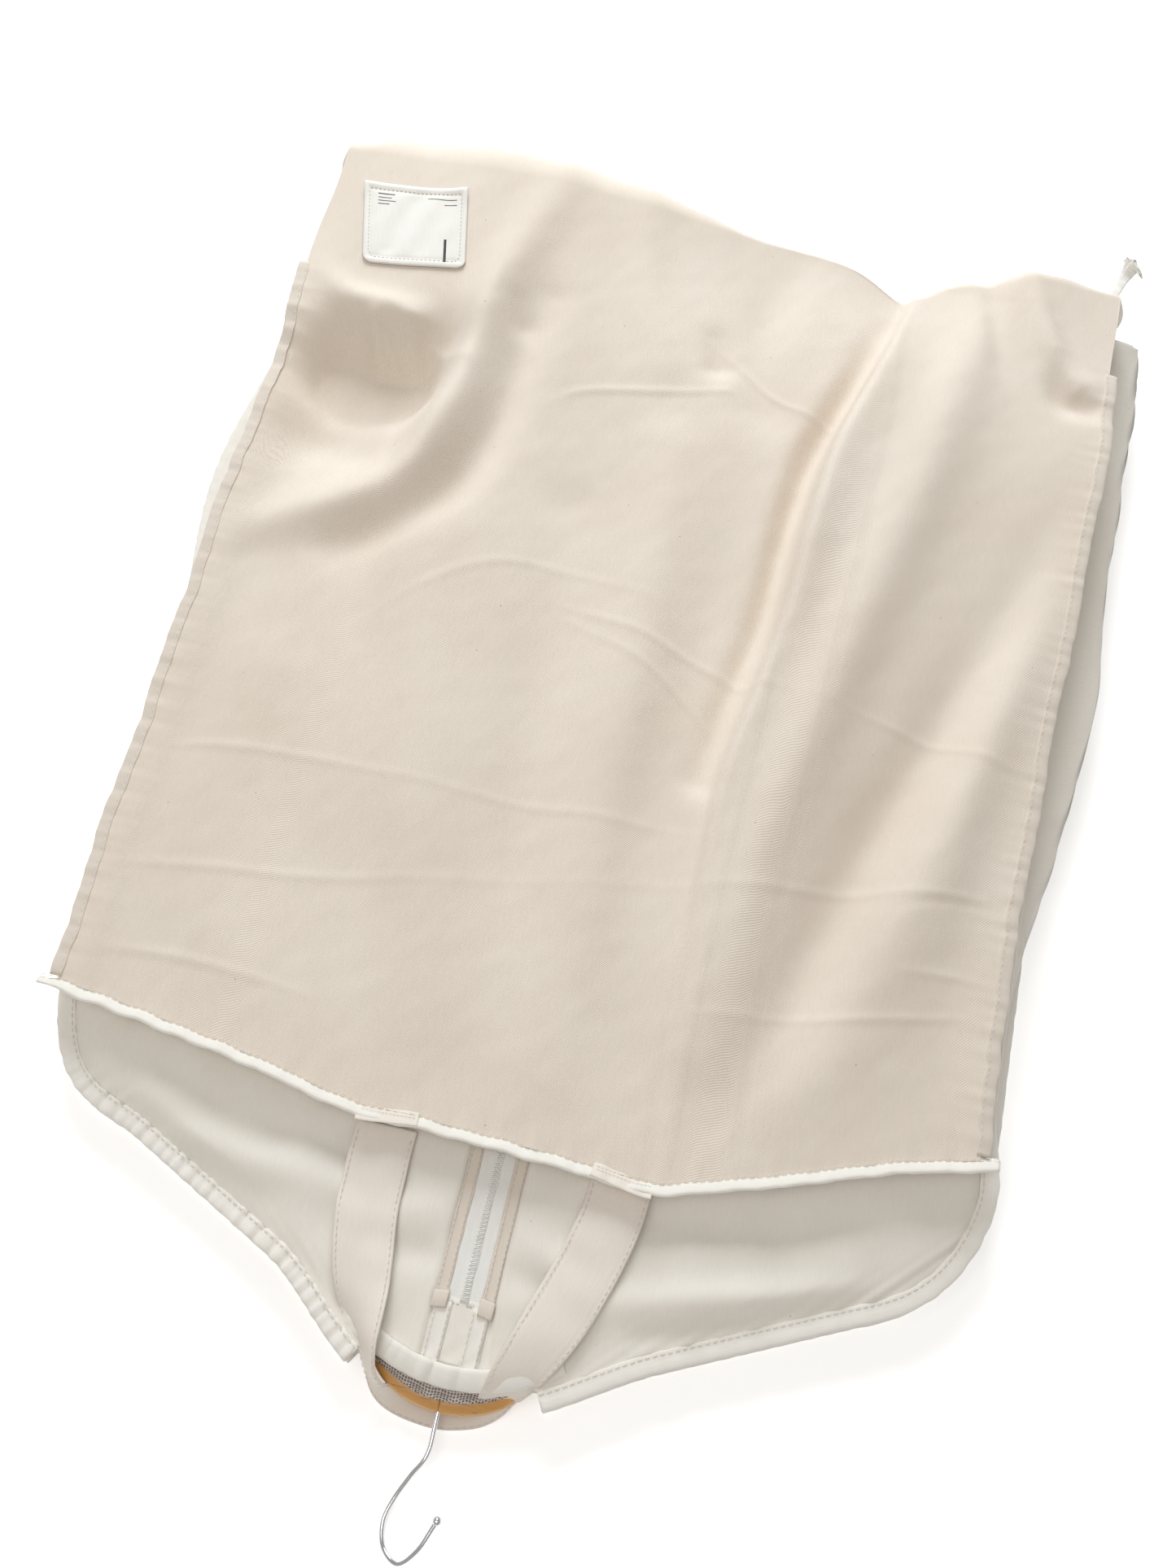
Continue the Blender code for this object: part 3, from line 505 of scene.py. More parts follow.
def wear_group():
    """Cloth colour: clean cotton, darker cloudy patches, small dark seed flecks, and the weave's painted shade."""
    group, gin, gout = socket_group(
        "cotton colour",
        [("Place", "NodeSocketVector", None), ("Clean", "NodeSocketColor", (0.8, 0.8, 0.8, 1)),
         ("Cloudy", "NodeSocketColor", (0.7, 0.65, 0.6, 1)), ("Shade", "NodeSocketFloat", 0.5),
         ("Flecks", "NodeSocketFloat", 1.0)],
        [("Colour", "NodeSocketColor", None)])
    n = Nodes(group)
    place = gin.outputs["Place"]
    cloud = n.span(n.noise(place, 7, 4, 0.55), 0.35, 0.72)
    colour = n.mix(n.math("MULTIPLY", cloud, 0.75), gin.outputs["Clean"], gin.outputs["Cloudy"])
    # The weave's height multiplies the colour: painted shade in its hollows, painted highlight on its ribs.
    shade = n.span(gin.outputs["Shade"], 0, 1, 0.90, 1.06)
    grey = n.add("ShaderNodeCombineColor")
    for socket in grey.inputs[:3]:
        n.put(shade, socket)
    colour = n.mix(1.0, colour, grey.outputs[0], "MULTIPLY")
    cell = n.add("ShaderNodeTexVoronoi", feature="F1")
    n.put(place, cell.inputs["Vector"])
    cell.inputs["Scale"].default_value = 55
    size = n.add("ShaderNodeSeparateColor")
    n.put(cell.outputs["Color"], size.inputs[0])
    chosen = n.math("GREATER_THAN", size.outputs[0], 0.55)
    fleck = n.math("MULTIPLY", n.math("LESS_THAN", cell.outputs["Distance"], 0.030), chosen)
    fleck = n.math("MULTIPLY", fleck, n.math("MULTIPLY", gin.outputs["Flecks"], 0.5))
    n.put(n.mix(fleck, colour, (0.22, 0.15, 0.09, 1)), gout.inputs["Colour"])
    return group


WEAVE = weave_group()
COTTON = wear_group()


def cloth(name, clean, cloudy, pitch=0.0011, depth=0.00010, flecks=1.0, sheen=0.15, roughness=0.9):
    """Woven cotton in two tones."""
    material, n, shader = new_finish(name)
    place = n.in_cloth()
    weave = n.add("ShaderNodeGroup", node_tree=WEAVE)
    n.put(place, weave.inputs["Place"])
    weave.inputs["Pitch"].default_value = pitch
    colour = n.add("ShaderNodeGroup", node_tree=COTTON)
    n.put(place, colour.inputs["Place"])
    colour.inputs["Clean"].default_value = (*clean, 1)
    colour.inputs["Cloudy"].default_value = (*cloudy, 1)
    colour.inputs["Flecks"].default_value = flecks
    # The weave's height goes into the colour as painted shade.
    n.put(weave.outputs["Shade"], colour.inputs["Shade"])
    n.put(colour.outputs["Colour"], shader.inputs["Base Color"])
    rough = n.span(weave.outputs["Shade"], 0, 1, roughness + 0.06, roughness - 0.06)
    n.put(rough, shader.inputs["Roughness"])
    n.bump(weave.outputs["Height"], depth, shader)
    shader.inputs["Sheen Weight"].default_value = sheen
    shader.inputs["Sheen Roughness"].default_value = 0.5
    shader.inputs["Specular IOR Level"].default_value = 0.25
    return material


CANVAS = cloth("unbleached twill", (0.82, 0.735, 0.64), (0.745, 0.645, 0.54), pitch=0.0013, depth=0.00013)
LINING = cloth("fine white cotton", (0.84, 0.795, 0.725), (0.79, 0.745, 0.665), pitch=0.0007, depth=0.00005,
               flecks=0.7)
TRIM = cloth("cotton binding", (0.76, 0.685, 0.60), (0.71, 0.63, 0.54), pitch=0.0006, depth=0.00005,
             flecks=0.3)
WHITE_TRIM = cloth("white binding", (0.87, 0.84, 0.78), (0.83, 0.79, 0.72), pitch=0.0006, depth=0.00005,
                   flecks=0.2)
ZIP_TAPE = cloth("zip tape", (0.87, 0.855, 0.82), (0.84, 0.825, 0.785), pitch=0.0009, depth=0.00012,
                 flecks=0.0)
LABEL = cloth("label cloth", (0.86, 0.84, 0.79), (0.83, 0.81, 0.75), pitch=0.0004, depth=0.00003, flecks=0.1,
              roughness=0.75)
THREAD = cloth("sewing thread", (0.80, 0.73, 0.64), (0.76, 0.69, 0.60), pitch=0.0005, depth=0.00004,
               flecks=0.0, roughness=0.7)
STRAP_CLOTH = cloth("strap twill", (0.84, 0.775, 0.70), (0.81, 0.735, 0.655), pitch=0.0009, depth=0.00007,
                    flecks=0.6)


def polymer_coil():
    """Milky nylon of the zip's coil."""
    material, n, shader = new_finish("nylon coil")
    place = n.in_object()
    tone = n.span(n.noise(place, 180, 2), 0.3, 0.7)
    n.put(n.mix(tone, (0.80, 0.79, 0.75, 1), (0.87, 0.86, 0.83, 1)), shader.inputs["Base Color"])
    n.put(n.span(n.noise(place, 900, 2), 0.3, 0.7, 0.38, 0.55), shader.inputs["Roughness"])
    return material


def metal(name, tone, rough, scratch):
    """Plated steel with faint scratches and handling marks."""
    material, n, shader = new_finish(name)
    place = n.in_object()
    marks = n.noise(n.vector("MULTIPLY", place, (1, 0.15, 1)), 2200, 4, 0.6)
    smear = n.noise(place, 70, 3)
    n.put(n.mix(n.span(smear, 0.35, 0.7), (*tone, 1), tuple(0.86 * c for c in tone) + (1,)),
          shader.inputs["Base Color"])
    shader.inputs["Metallic"].default_value = 1.0
    n.put(n.math("ADD", n.span(smear, 0.3, 0.7, rough, rough + 0.10), n.math("MULTIPLY", marks, scratch)),
          shader.inputs["Roughness"])
    n.bump(marks, 0.00002, shader)
    return material


def varnished_wood():
    """Honey-coloured beech: long grain, short dark pores, and a satin varnish."""
    material, n, shader = new_finish("varnished beech")
    place = n.in_object()
    long_grain = n.vector("MULTIPLY", place, (7, 60, 60))
    bands = n.noise(long_grain, 2.2, 5, 0.6)
    rings = n.add("ShaderNodeTexWave", wave_type="BANDS", bands_direction="Y")
    n.put(n.vector("MULTIPLY", place, (6, 70, 70)), rings.inputs["Vector"])
    rings.inputs["Scale"].default_value = 1.3
    rings.inputs["Distortion"].default_value = 3.0
    rings.inputs["Detail"].default_value = 3.0
    pores = n.span(n.noise(n.vector("MULTIPLY", place, (60, 900, 900)), 1.0, 2), 0.62, 0.7)
    colour = n.mix(n.span(bands, 0.3, 0.7), (0.70, 0.375, 0.110, 1), (0.54, 0.260, 0.066, 1))
    colour = n.mix(n.math("MULTIPLY", rings.outputs["Fac"], 0.4), colour, (0.60, 0.30, 0.080, 1))
    colour = n.mix(n.math("MULTIPLY", pores, 0.5), colour, (0.16, 0.06, 0.012, 1))
    n.put(colour, shader.inputs["Base Color"])
    n.put(n.span(bands, 0.3, 0.7, 0.28, 0.42), shader.inputs["Roughness"])
    bump = n.bump(n.math("SUBTRACT", bands, pores), 0.00012, shader)
    bump.inputs["Strength"].default_value = 0.6
    shader.inputs["Coat Weight"].default_value = 0.35
    shader.inputs["Coat Roughness"].default_value = 0.12
    return material


def net_cloth():
    """Warp-knit net: round holes in staggered rows through a soft grey-beige knit; the holes are painted dark, as
    painted shade of the inside seen through them.
    """
    material, n, shader = new_finish("knitted net")
    place = n.in_cloth()
    cell = n.add("ShaderNodeTexVoronoi", feature="F1")
    cell.inputs["Randomness"].default_value = 0.12
    cell.inputs["Scale"].default_value = 520
    n.put(place, cell.inputs["Vector"])
    hole_and_shade = n.span(cell.outputs["Distance"], 0.24, 0.40)
    yarn = n.noise(place, 1400, 2)
    soft = n.mix(n.span(yarn, 0.3, 0.7), (0.53, 0.465, 0.425, 1), (0.61, 0.55, 0.51, 1))
    # The holes get a near-black brown: painted shade seen through the net, not the knit's own colour.
    n.put(n.mix(hole_and_shade, (0.17, 0.135, 0.115, 1), soft), shader.inputs["Base Color"])
    shader.inputs["Roughness"].default_value = 0.85
    shader.inputs["Sheen Weight"].default_value = 0.2
    n.bump(n.math("ADD", hole_and_shade, n.math("MULTIPLY", yarn, 0.3)), 0.0004, shader)
    return material


def ink():
    """Printing ink, slightly worn."""
    material, n, shader = new_finish("label ink")
    place = n.in_cloth()
    worn = n.span(n.noise(place, 1500, 3), 0.45, 0.75)
    n.put(n.mix(worn, (0.02, 0.02, 0.02, 1), (0.10, 0.10, 0.10, 1)), shader.inputs["Base Color"])
    shader.inputs["Roughness"].default_value = 0.7
    return material


COIL = polymer_coil()
INK = ink()
CHROME = metal("polished chrome", (0.80, 0.80, 0.81), 0.06, 0.05)
NICKEL = metal("nickel plate", (0.62, 0.60, 0.57), 0.22, 0.12)
WOOD = varnished_wood()
NET = net_cloth()

SLOT_FINISHES = {"canvas": CANVAS, "lining": LINING, "binding": TRIM, "mesh": NET, "tape": ZIP_TAPE,
                 "coil": COIL, "label": LABEL, "wood": WOOD, "chrome": CHROME, "nickel": NICKEL}

for cad in bpy.data.objects:
    for item in cad.material_slots if cad.type == "MESH" else ():
        word = item.material.name.split(".")[0] if item.material else ""
        if word in SLOT_FINISHES:
            item.material = SLOT_FINISHES[word]


# ---------------------------------------------------------------- the folded lower half

FOLD_PLACES = [-0.300, -0.250, -0.200, -0.133, -0.090, -0.047, 0.024, 0.061, 0.106, 0.146, 0.171, 0.240, 0.300]
FOLD_TOPS = [0.090, 0.094, 0.100, 0.097, 0.094, 0.088, 0.074, 0.071, 0.067, 0.060, 0.070, 0.088, 0.084]
FOLD_REACH = [0.032, 0.040, 0.046, 0.043, 0.039, 0.032, 0.012, 0.010, 0.007, 0.010, 0.012, 0.020, 0.018]
FOLD_BACK = [0.000, 0.000, 0.000, 0.000, 0.000, 0.000, 0.000, 0.000, 0.004, 0.028, 0.010, 0.000, 0.000]


def left_edge(s):
    """Where the folded half's cloth ends on the left."""
    bows = 0.004 * bump_at(s, 0.19, 0.05) - 0.0025 * bump_at(s, 0.57, 0.10)
    return -0.2945 + bows + 0.0008 * np.sin(s * 55)


def right_edge(s):
    """Where the folded half's cloth ends on the right."""
    line = through(s, [0.0, 0.08, 0.134, 0.224, 0.346, 0.461, 0.560, 0.638],
                   [0.293, 0.293, 0.2925, 0.2885, 0.2825, 0.2795, 0.2785, 0.2840])
    return line + 0.0008 * np.sin(s * 47 + 1)


EDGES = ((-1, "left", left_edge), (1, "right", right_edge))


def hem_edge(x):
    """How far the folded half's cloth reaches towards the hook: a bow, with slack between the straps."""
    return through(x, [-0.307, -0.247, -0.163, -0.092, -0.048, 0.013, 0.058, 0.094, 0.165, 0.235, 0.295],
                   [0.651, 0.658, 0.670, 0.684, 0.683, 0.685, 0.687, 0.690, 0.668, 0.643, 0.628])


DRAPES = [
    ("pleat", [(0.147, 0.010, 0.005), (0.138, 0.060, 0.012), (0.126, 0.110, 0.016), (0.109, 0.177, 0.018),
               (0.102, 0.244, 0.018), (0.099, 0.310, 0.016), (0.090, 0.372, 0.012), (0.081, 0.433, 0.009),
               (0.082, 0.499, 0.006), (0.086, 0.562, 0.003), (0.092, 0.650, 0.001)], 0.0026, 0.050),
    ("round", [(0.132, 0.040, 0.000), (0.117, 0.110, -0.007), (0.098, 0.177, -0.011), (0.091, 0.244, -0.011),
               (0.088, 0.310, -0.009), (0.078, 0.372, -0.006), (0.069, 0.433, -0.003)], 0.011, 0),
    ("round", [(0.110, 0.060, 0.000), (0.080, 0.130, -0.003), (0.068, 0.220, -0.004), (0.060, 0.330, -0.004),
               (0.046, 0.450, -0.003), (0.050, 0.560, -0.002), (0.062, 0.650, 0.000)], 0.030, 0),
    ("round", [(0.305, 0.100, 0.000), (0.285, 0.170, -0.004), (0.258, 0.260, -0.007), (0.222, 0.360, -0.009),
               (0.190, 0.450, -0.009), (0.163, 0.535, -0.007), (0.140, 0.615, -0.004), (0.126, 0.680, -0.001)],
     0.022, 0),
    ("round", [(0.205, 0.020, 0.003), (0.190, 0.090, 0.006), (0.178, 0.170, 0.007), (0.158, 0.276, 0.008),
               (0.133, 0.389, 0.008), (0.115, 0.483, 0.006), (0.104, 0.600, 0.002)], 0.022, 0),
    ("round", [(0.292, 0.160, 0.003), (0.272, 0.260, 0.006), (0.248, 0.350, 0.009), (0.222, 0.451, 0.009),
               (0.192, 0.563, 0.006), (0.160, 0.660, 0.002)], 0.030, 0),
    ("round", [(-0.118, -0.020, 0.002), (-0.138, 0.050, 0.006), (-0.150, 0.100, 0.010), (-0.156, 0.150, 0.013),
               (-0.158, 0.195, 0.013), (-0.165, 0.232, 0.012), (-0.182, 0.262, 0.010), (-0.208, 0.286, 0.009),
               (-0.240, 0.306, 0.007), (-0.270, 0.322, 0.005), (-0.300, 0.336, 0.002)], 0.018, 0),
    ("round", [(-0.300, 0.190, -0.014), (-0.265, 0.185, -0.024), (-0.225, 0.190, -0.027), (-0.196, 0.180, -0.021),
               (-0.182, 0.155, -0.011)], 0.026, 0),
    ("round", [(-0.300, 0.240, -0.006), (-0.262, 0.240, -0.009), (-0.225, 0.240, -0.009), (-0.200, 0.240, -0.004)],
     0.026, 0),
    ("round", [(-0.230, 0.340, 0.000), (-0.185, 0.306, -0.004), (-0.148, 0.268, -0.006), (-0.128, 0.215, -0.006),
               (-0.121, 0.155, -0.004), (-0.112, 0.100, -0.002)], 0.015, 0),
    ("round", [(-0.296, 0.100, 0.000), (-0.262, 0.128, 0.005), (-0.225, 0.136, 0.006), (-0.200, 0.136, 0.004)],
     0.012, 0),
    ("round", [(-0.232, 0.146, 0.003), (-0.228, 0.160, 0.004), (-0.222, 0.176, 0.000)], 0.006, 0),
    ("round", [(-0.205, 0.142, 0.003), (-0.200, 0.160, 0.004), (-0.193, 0.180, 0.000)], 0.007, 0),
    ("round", [(-0.150, 0.300, 0.003), (-0.128, 0.400, 0.005), (-0.108, 0.500, 0.005), (-0.080, 0.600, 0.003),
               (-0.060, 0.670, 0.001)], 0.028, 0),
    ("round", [(-0.060, 0.260, -0.003), (-0.045, 0.380, -0.005), (-0.035, 0.500, -0.004), (-0.020, 0.640, -0.001)],
     0.026, 0),
    ("round", [(0.000, 0.200, 0.003), (0.010, 0.330, 0.005), (0.016, 0.470, 0.004), (0.020, 0.640, 0.002)],
     0.024, 0),
    ("round", [(-0.230, 0.430, 0.003), (-0.225, 0.540, 0.004), (-0.215, 0.640, 0.002)], 0.034, 0),
    ("round", [(0.255, 0.060, 0.000), (0.262, 0.098, -0.006), (0.284, 0.104, -0.009)], 0.011, 0),
    ("round", [(0.222, -0.020, 0.002), (0.240, 0.040, 0.004), (0.262, 0.078, 0.004), (0.280, 0.086, 0.003)],
     0.010, 0),
    ("round", [(0.196, -0.030, -0.002), (0.205, 0.030, -0.003), (0.214, 0.085, -0.001)], 0.009, 0),
    ("round", [(-0.134, 0.112, -0.001), (-0.126, 0.126, -0.002)], 0.010, 0),
    ("round", [(0.012, 0.100, -0.002), (0.018, 0.122, -0.004)], 0.011, 0),
    ("round", [(-0.060, -0.030, 0.002), (-0.050, 0.060, 0.003), (-0.020, 0.130, 0.002)], 0.018, 0),
    ("round", [(0.060, 0.010, -0.002), (0.045, 0.080, -0.004), (0.055, 0.150, -0.003)], 0.020, 0),
]

PRESSED = [
    ("press", [(-0.292, 0.494, 0.0000), (-0.250, 0.484, 0.0007), (-0.180, 0.477, 0.0006), (-0.100, 0.477, 0.0004),
               (0.000, 0.474, 0.0005), (0.078, 0.471, 0.0001)], 0.0026, 0),
    ("press", [(-0.292, 0.572, 0.0004), (-0.220, 0.562, 0.0007), (-0.140, 0.550, 0.0006), (-0.040, 0.528, 0.0002),
               (0.080, 0.505, 0.0003), (0.156, 0.491, 0.0006), (0.279, 0.470, 0.0006)], 0.0028, 0),
    ("press", [(-0.290, 0.628, 0.0003), (-0.230, 0.622, 0.0008), (-0.170, 0.624, 0.0005), (-0.127, 0.628, 0.0000)],
     0.0028, 0),
    ("press", [(-0.048, 0.330, 0.0002), (0.005, 0.342, 0.0007), (0.076, 0.361, 0.0006), (0.130, 0.368, 0.0001),
               (0.200, 0.375, 0.0006), (0.275, 0.386, 0.0006)], 0.0026, 0),
    ("press", [(-0.048, 0.338, 0.0002), (0.020, 0.366, 0.0006), (0.060, 0.392, 0.0004), (0.080, 0.410, 0.0000)],
     0.0026, 0),
    ("press", [(-0.175, 0.372, 0.0001), (-0.140, 0.340, 0.0006), (-0.099, 0.311, 0.0007), (-0.048, 0.306, 0.0004),
               (0.010, 0.316, 0.0002)], 0.0026, 0),
    ("press", [(-0.094, 0.182, 0.0001), (-0.070, 0.166, 0.0009), (-0.020, 0.156, 0.0011), (0.030, 0.142, 0.0008)],
     0.0024, 0),
    ("press", [(0.012, 0.104, 0.0002), (0.040, 0.124, 0.0008), (0.067, 0.141, 0.0010), (0.110, 0.150, 0.0003)],
     0.0024, 0),
    ("press", [(0.096, 0.584, 0.0002), (0.190, 0.567, 0.0007), (0.275, 0.545, 0.0005)], 0.0026, 0),
    ("press", [(0.190, 0.500, 0.0002), (0.235, 0.482, -0.0007), (0.277, 0.478, -0.0006)], 0.0026, 0),
    ("press", [(0.215, 0.531, 0.0002), (0.250, 0.526, 0.0008), (0.277, 0.527, 0.0006)], 0.0026, 0),
    ("press", [(-0.165, -0.030, 0.0003), (-0.152, 0.030, 0.0008), (-0.150, 0.110, 0.0005)], 0.0024, 0),
    ("press", [(-0.190, 0.112, 0.0004), (-0.186, 0.140, 0.0008), (-0.184, 0.165, 0.0003)], 0.0020, 0),
]


def fold_top(x):
    """Height of the cloth over the fold axis, which sags in the middle and beside the pleat."""
    return through(x, FOLD_PLACES, FOLD_TOPS)


def back_height(x, s):
    """Height of the folded half's upper face: the slope to the hem, the sagging fold and the drapes."""
    plain = 2 * FOLD_Z - BACK_SLOPE * s
    sag = (fold_top(x) - 2 * FOLD_Z) * np.exp(-((s / 0.11) ** 2))
    edge = ramp(np.minimum(x - left_edge(s), right_edge(s) - x), -0.004, 0.045)
    hem = ramp(hem_edge(x) - s, -0.002, 0.07)
    hollow = -0.007 * bump_at(x, -0.05, 0.09) * bump_at(s, 0.22, 0.14)
    # The roll's overhang on the left ends in a drop
    drop = -0.010 * ramp(s, 0.135, 0.175) * (1 - ramp(x, -0.20, -0.165)) * (1 - ramp(s, 0.22, 0.42))
    soft = 1.5 * fold_relief(x, s, DRAPES) + hollow + drop + 0.0012 * swell(x, s, 5)
    fine = fold_relief(x, s, PRESSED) + 0.00010 * swell(x, s, 8, 0.014, 0.045)
    pucker = 0.0004 * np.exp(-(x - left_edge(s)) / 0.010) * ripple(s, 21) * ramp(s, 0.09, 0.13)
    pucker = pucker + 0.0003 * np.exp(-(right_edge(s) - x) / 0.010) * ripple(s, 22) * ramp(s, 0.05, 0.09)
    pucker = pucker + 0.0004 * np.exp(-(hem_edge(x) - s) / 0.012) * ripple(x, 23, 0.009, 0.026)
    z = plain + sag + soft * (0.25 + 0.75 * edge) * (0.15 + 0.85 * hem) + fine * edge + pucker
    lowest = front_low(np.maximum(s, 0)) + 0.0050
    return lowest + 0.5 * (z - lowest + np.sqrt((z - lowest) ** 2 + 0.003**2))


def roll_section(x, turn):
    """The roll behind the fold axis: half an ellipse from the floor (turn 0) to the top (turn 1)."""
    angle = np.pi * (turn - 0.5)
    end = ramp(np.minimum(x - left_edge(0), right_edge(0) - x), -0.002, 0.040)
    reach = through(x, FOLD_PLACES, FOLD_REACH) * (0.65 + 0.35 * end)
    top = fold_top(x)
    flat = 0.0010
    s = through(x, FOLD_PLACES, FOLD_BACK) - reach * np.cos(angle)
    z = flat + (top - flat) * (0.5 + 0.5 * np.sin(angle))
    return s, z


def build_back_cloth():
    """The folded half's back and the roll: half an ellipse, then the draped face, in two cloths that meet.

    Rows run from the floor round the roll to the hem and columns from the left edge to the right.
    Drapes lift each point along the plain shape's normal.
    """
    cols, roll_rows, flat_rows = 226, 44, 300
    u = np.linspace(0, 1, cols)[None, :]
    turn = np.linspace(0, 1, roll_rows)[:-1, None]
    x = left_edge(0.0) + (right_edge(0.0) - left_edge(0.0)) * u + 0 * turn
    s, z = roll_section(x, turn)
    run = -0.075 * (1 - turn)
    lift = back_height(x, run) - back_height_plain(x, run)
    lift = lift * ramp(turn, 0.15, 1.0)
    angle = np.pi * (turn - 0.5)
    s, z = s - lift * np.cos(angle), z + lift * np.sin(angle)
    creases = 0.0010 * ripple(x + 0.1 * turn, 31, 0.02, 0.06) * np.sin(np.pi * turn)
    roll = rows_of(x, s - creases * np.cos(angle), np.maximum(z, 0.0006))

    share = np.linspace(0, 1, flat_rows)[:, None]
    x0 = left_edge(0.0) + (right_edge(0.0) - left_edge(0.0)) * u
    start = through(x0, FOLD_PLACES, FOLD_BACK)
    s = start + (hem_edge(x0) - start) * share
    x = left_edge(s) + (right_edge(s) - left_edge(s)) * u
    s = start + (hem_edge(x) - start) * share
    z = back_height(x, s)
    split = int(0.75 * roll_rows)
    grid = np.concatenate([roll[split:], rows_of(x, s, z)])
    piece = make("back_cloth", grid, quads(*grid.shape[:2]), CANVAS, "flap", ["flap_back_panel"],
                 flat_weave(grid))
    grid = roll[:split + 1]
    piece = make("roll_cloth", grid, quads(*grid.shape[:2]), CANVAS, None, ["fold_wrap"],
                 flat_weave(grid) - [0, 0.1, 0])
    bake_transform(piece)


def back_height_plain(x, s):
    """The folded half's upper face without its drapes."""
    return 2 * FOLD_Z - BACK_SLOPE * s + (fold_top(x) - 2 * FOLD_Z) * np.exp(-((s / 0.11) ** 2))


def edge_band(name, side, inward, nodes, seed, ends, height, edge, width, thick=0.0026):
    """Binding along one long side: a puckered band whose inner part lies over the cloth's edge.

    The line of its stitches and the direction up from the band come back.
    """
    s0, s1 = ends
    count = int((s1 - s0) / 0.0022)
    s = np.linspace(s0, s1, count)
    centre = edge(s) + side * (width / 2 - inward)
    wave = ripple(s, seed)
    route = rows_of(centre + 0.0004 * ripple(s, seed + 1, 0.02, 0.05), s, height(s))
    up = same(UP, count) + np.array([side * 0.18, 0, 0])
    _, across, up = frames(route, up)
    groove = -0.62 * side * np.sign(across[0, 0])
    rings = ribbon_rings(route, across, up, width, thick, groove=groove, wave=wave)
    tube(name, rings, TRIM, "flap", nodes)
    seam = route - side * np.array([1, 0, 0]) * (0.31 * width)
    return seam + up * 0.0010, up


def build_flap_bindings():
    """The bindings down both sides of the folded half, and their stitching."""
    for side, word, edge in EDGES:
        def height(s, edge=edge):
            return back_height(edge(s), s) - 0.0006
        ends = (0.108, 0.650) if side < 0 else (0.070, 0.628)
        seam, up = edge_band(f"flap_edge_{word}", side, 0.0026, [f"flap_binding_{word}"], 41 + side, ends,
                             height, edge, width=0.0090, thick=0.0022)
        stitches(f"flap_edge_stitches_{word}", seam, up, BINDING_STITCH, THREAD, "flap")


def hem_route(offset):
    """The hem's line from its left corner to its right, moved out by an offset."""
    x = np.linspace(left_edge(0.65) - 0.012, right_edge(0.63) + 0.012, 300)
    s = hem_edge(np.clip(x, -0.303, 0.292))
    return x, s + offset + 0.0005 * ripple(x, 51, 0.02, 0.05)


def build_hem():
    """The hem's thick white binding, bent over the hem's edge, with its stitching and corner tips."""
    x, s = hem_route(0.0026)
    z = back_height(x, s - 0.005) - 0.0008
    route = rows_of(x, s, z)
    _, across, up = frames(route, same((0, 0.55, 1.0), len(x)))
    wave = ripple(x, 52, 0.008, 0.024)
    narrow = 1 - 0.45 * ramp(np.abs(x) - 0.286, 0, 0.018)
    rings = ribbon_rings(route, across, up, 0.0098 * narrow, 0.0038 * narrow, wave=wave)
    tube("hem_edge", rings, WHITE_TRIM, "flap", ["hem_binding"])
    x, s = hem_route(-0.0012)
    seam = rows_of(x, s, back_height(x, s) + 0.0007)
    stitches("hem_stitches", seam, up, HEM_STITCH, THREAD, "flap")


def build_hem_walls():
    """The folded half's walls: each a strip from the upper cloth down to the lower one, bowed a little."""
    t = np.linspace(0, 1, 9)[:, None]
    for side, word, edge in EDGES:
        s = np.linspace(-0.001, 0.632, 230)[None, :]
        first = 0.112 if side < 0 else 0.070
        tucked = ramp(s, first - 0.015, first + 0.010)
        top = back_height(edge(s) - side * 0.002 * tucked, s) - 0.0002 - 0.0018 * tucked
        low = front_low(s) + 0.0020
        bulge = np.sin(np.pi * t) * ripple(s, 61 + side, 0.03, 0.09)
        x = edge(s) - side * (0.0002 + 0.0038 * tucked) + side * 0.0035 * bulge
        x = x - side * 0.004 * np.sin(np.pi * t)
        z = top + (low - top) * t
        grid = rows_of(x, s + 0 * t, z)
        if side > 0:
            grid = grid[:, ::-1]
        shell(f"flap_wall_{word}", grid, WALL_THICK, LINING, "flap", [f"flap_gusset_{word}"])
    x = np.linspace(-0.286, 0.276, 220)[None, :]
    s = hem_edge(x) - 0.004 - 0.003 * np.sin(np.pi * t)
    top = back_height(x, hem_edge(x) - 0.004) - 0.0022
    low = front_low(s) + 0.0016
    grid = rows_of(x + 0 * t, s, top + (low - top) * t)
    shell("hem_wall", grid[:, ::-1], WALL_THICK, LINING, "flap", ["hem_gusset"])


def front_low(s):
    """Height of the folded half's lower face."""
    return FOLD_Z - LAYER_GAP / 2 - FRONT_SLOPE * s + LAYER_GAP


def front_top(s):
    """Height of the upper half's upper face."""
    return FOLD_Z - LAYER_GAP / 2 - FRONT_SLOPE * s


# ---------------------------------------------------------------- the upper half

def shoulder_line(count, inset=0.0):
    """Half the neck-to-side outline as (x, s): the shoulder's slope, then its arc."""
    turn = math.pi / 2 - SHOULDER_SLOPE
    radius, side = SHOULDER_RADIUS - inset, SEAM - inset
    neck_x = NECK_HALF - inset * math.sin(SHOULDER_SLOPE)
    neck_s = UPPER_LENGTH - inset * math.cos(SHOULDER_SLOPE)
    corner = neck_s - (side - neck_x) * math.tan(SHOULDER_SLOPE)
    middle = corner - radius * math.tan(turn / 2)
    angle = np.linspace(0, turn, 40)
    x = np.concatenate([side - radius + radius * np.cos(angle), [neck_x]])
    s = np.concatenate([middle + radius * np.sin(angle), [neck_s]])
    fine = np.linspace(0, 1, count)
    run = np.concatenate([[0], np.cumsum(np.hypot(np.diff(x), np.diff(s)))])
    return np.interp(fine * run[-1], run, x), np.interp(fine * run[-1], run, s)


SHOULDER_X, SHOULDER_S = shoulder_line(200)
SIDE_END = float(SHOULDER_S[0])


def flank(s):
    """1 along the upper half's straight side, falling smoothly to 0 where its shoulder begins."""
    return 1 - ramp(s, SIDE_END - 0.05, SIDE_END + 0.03)


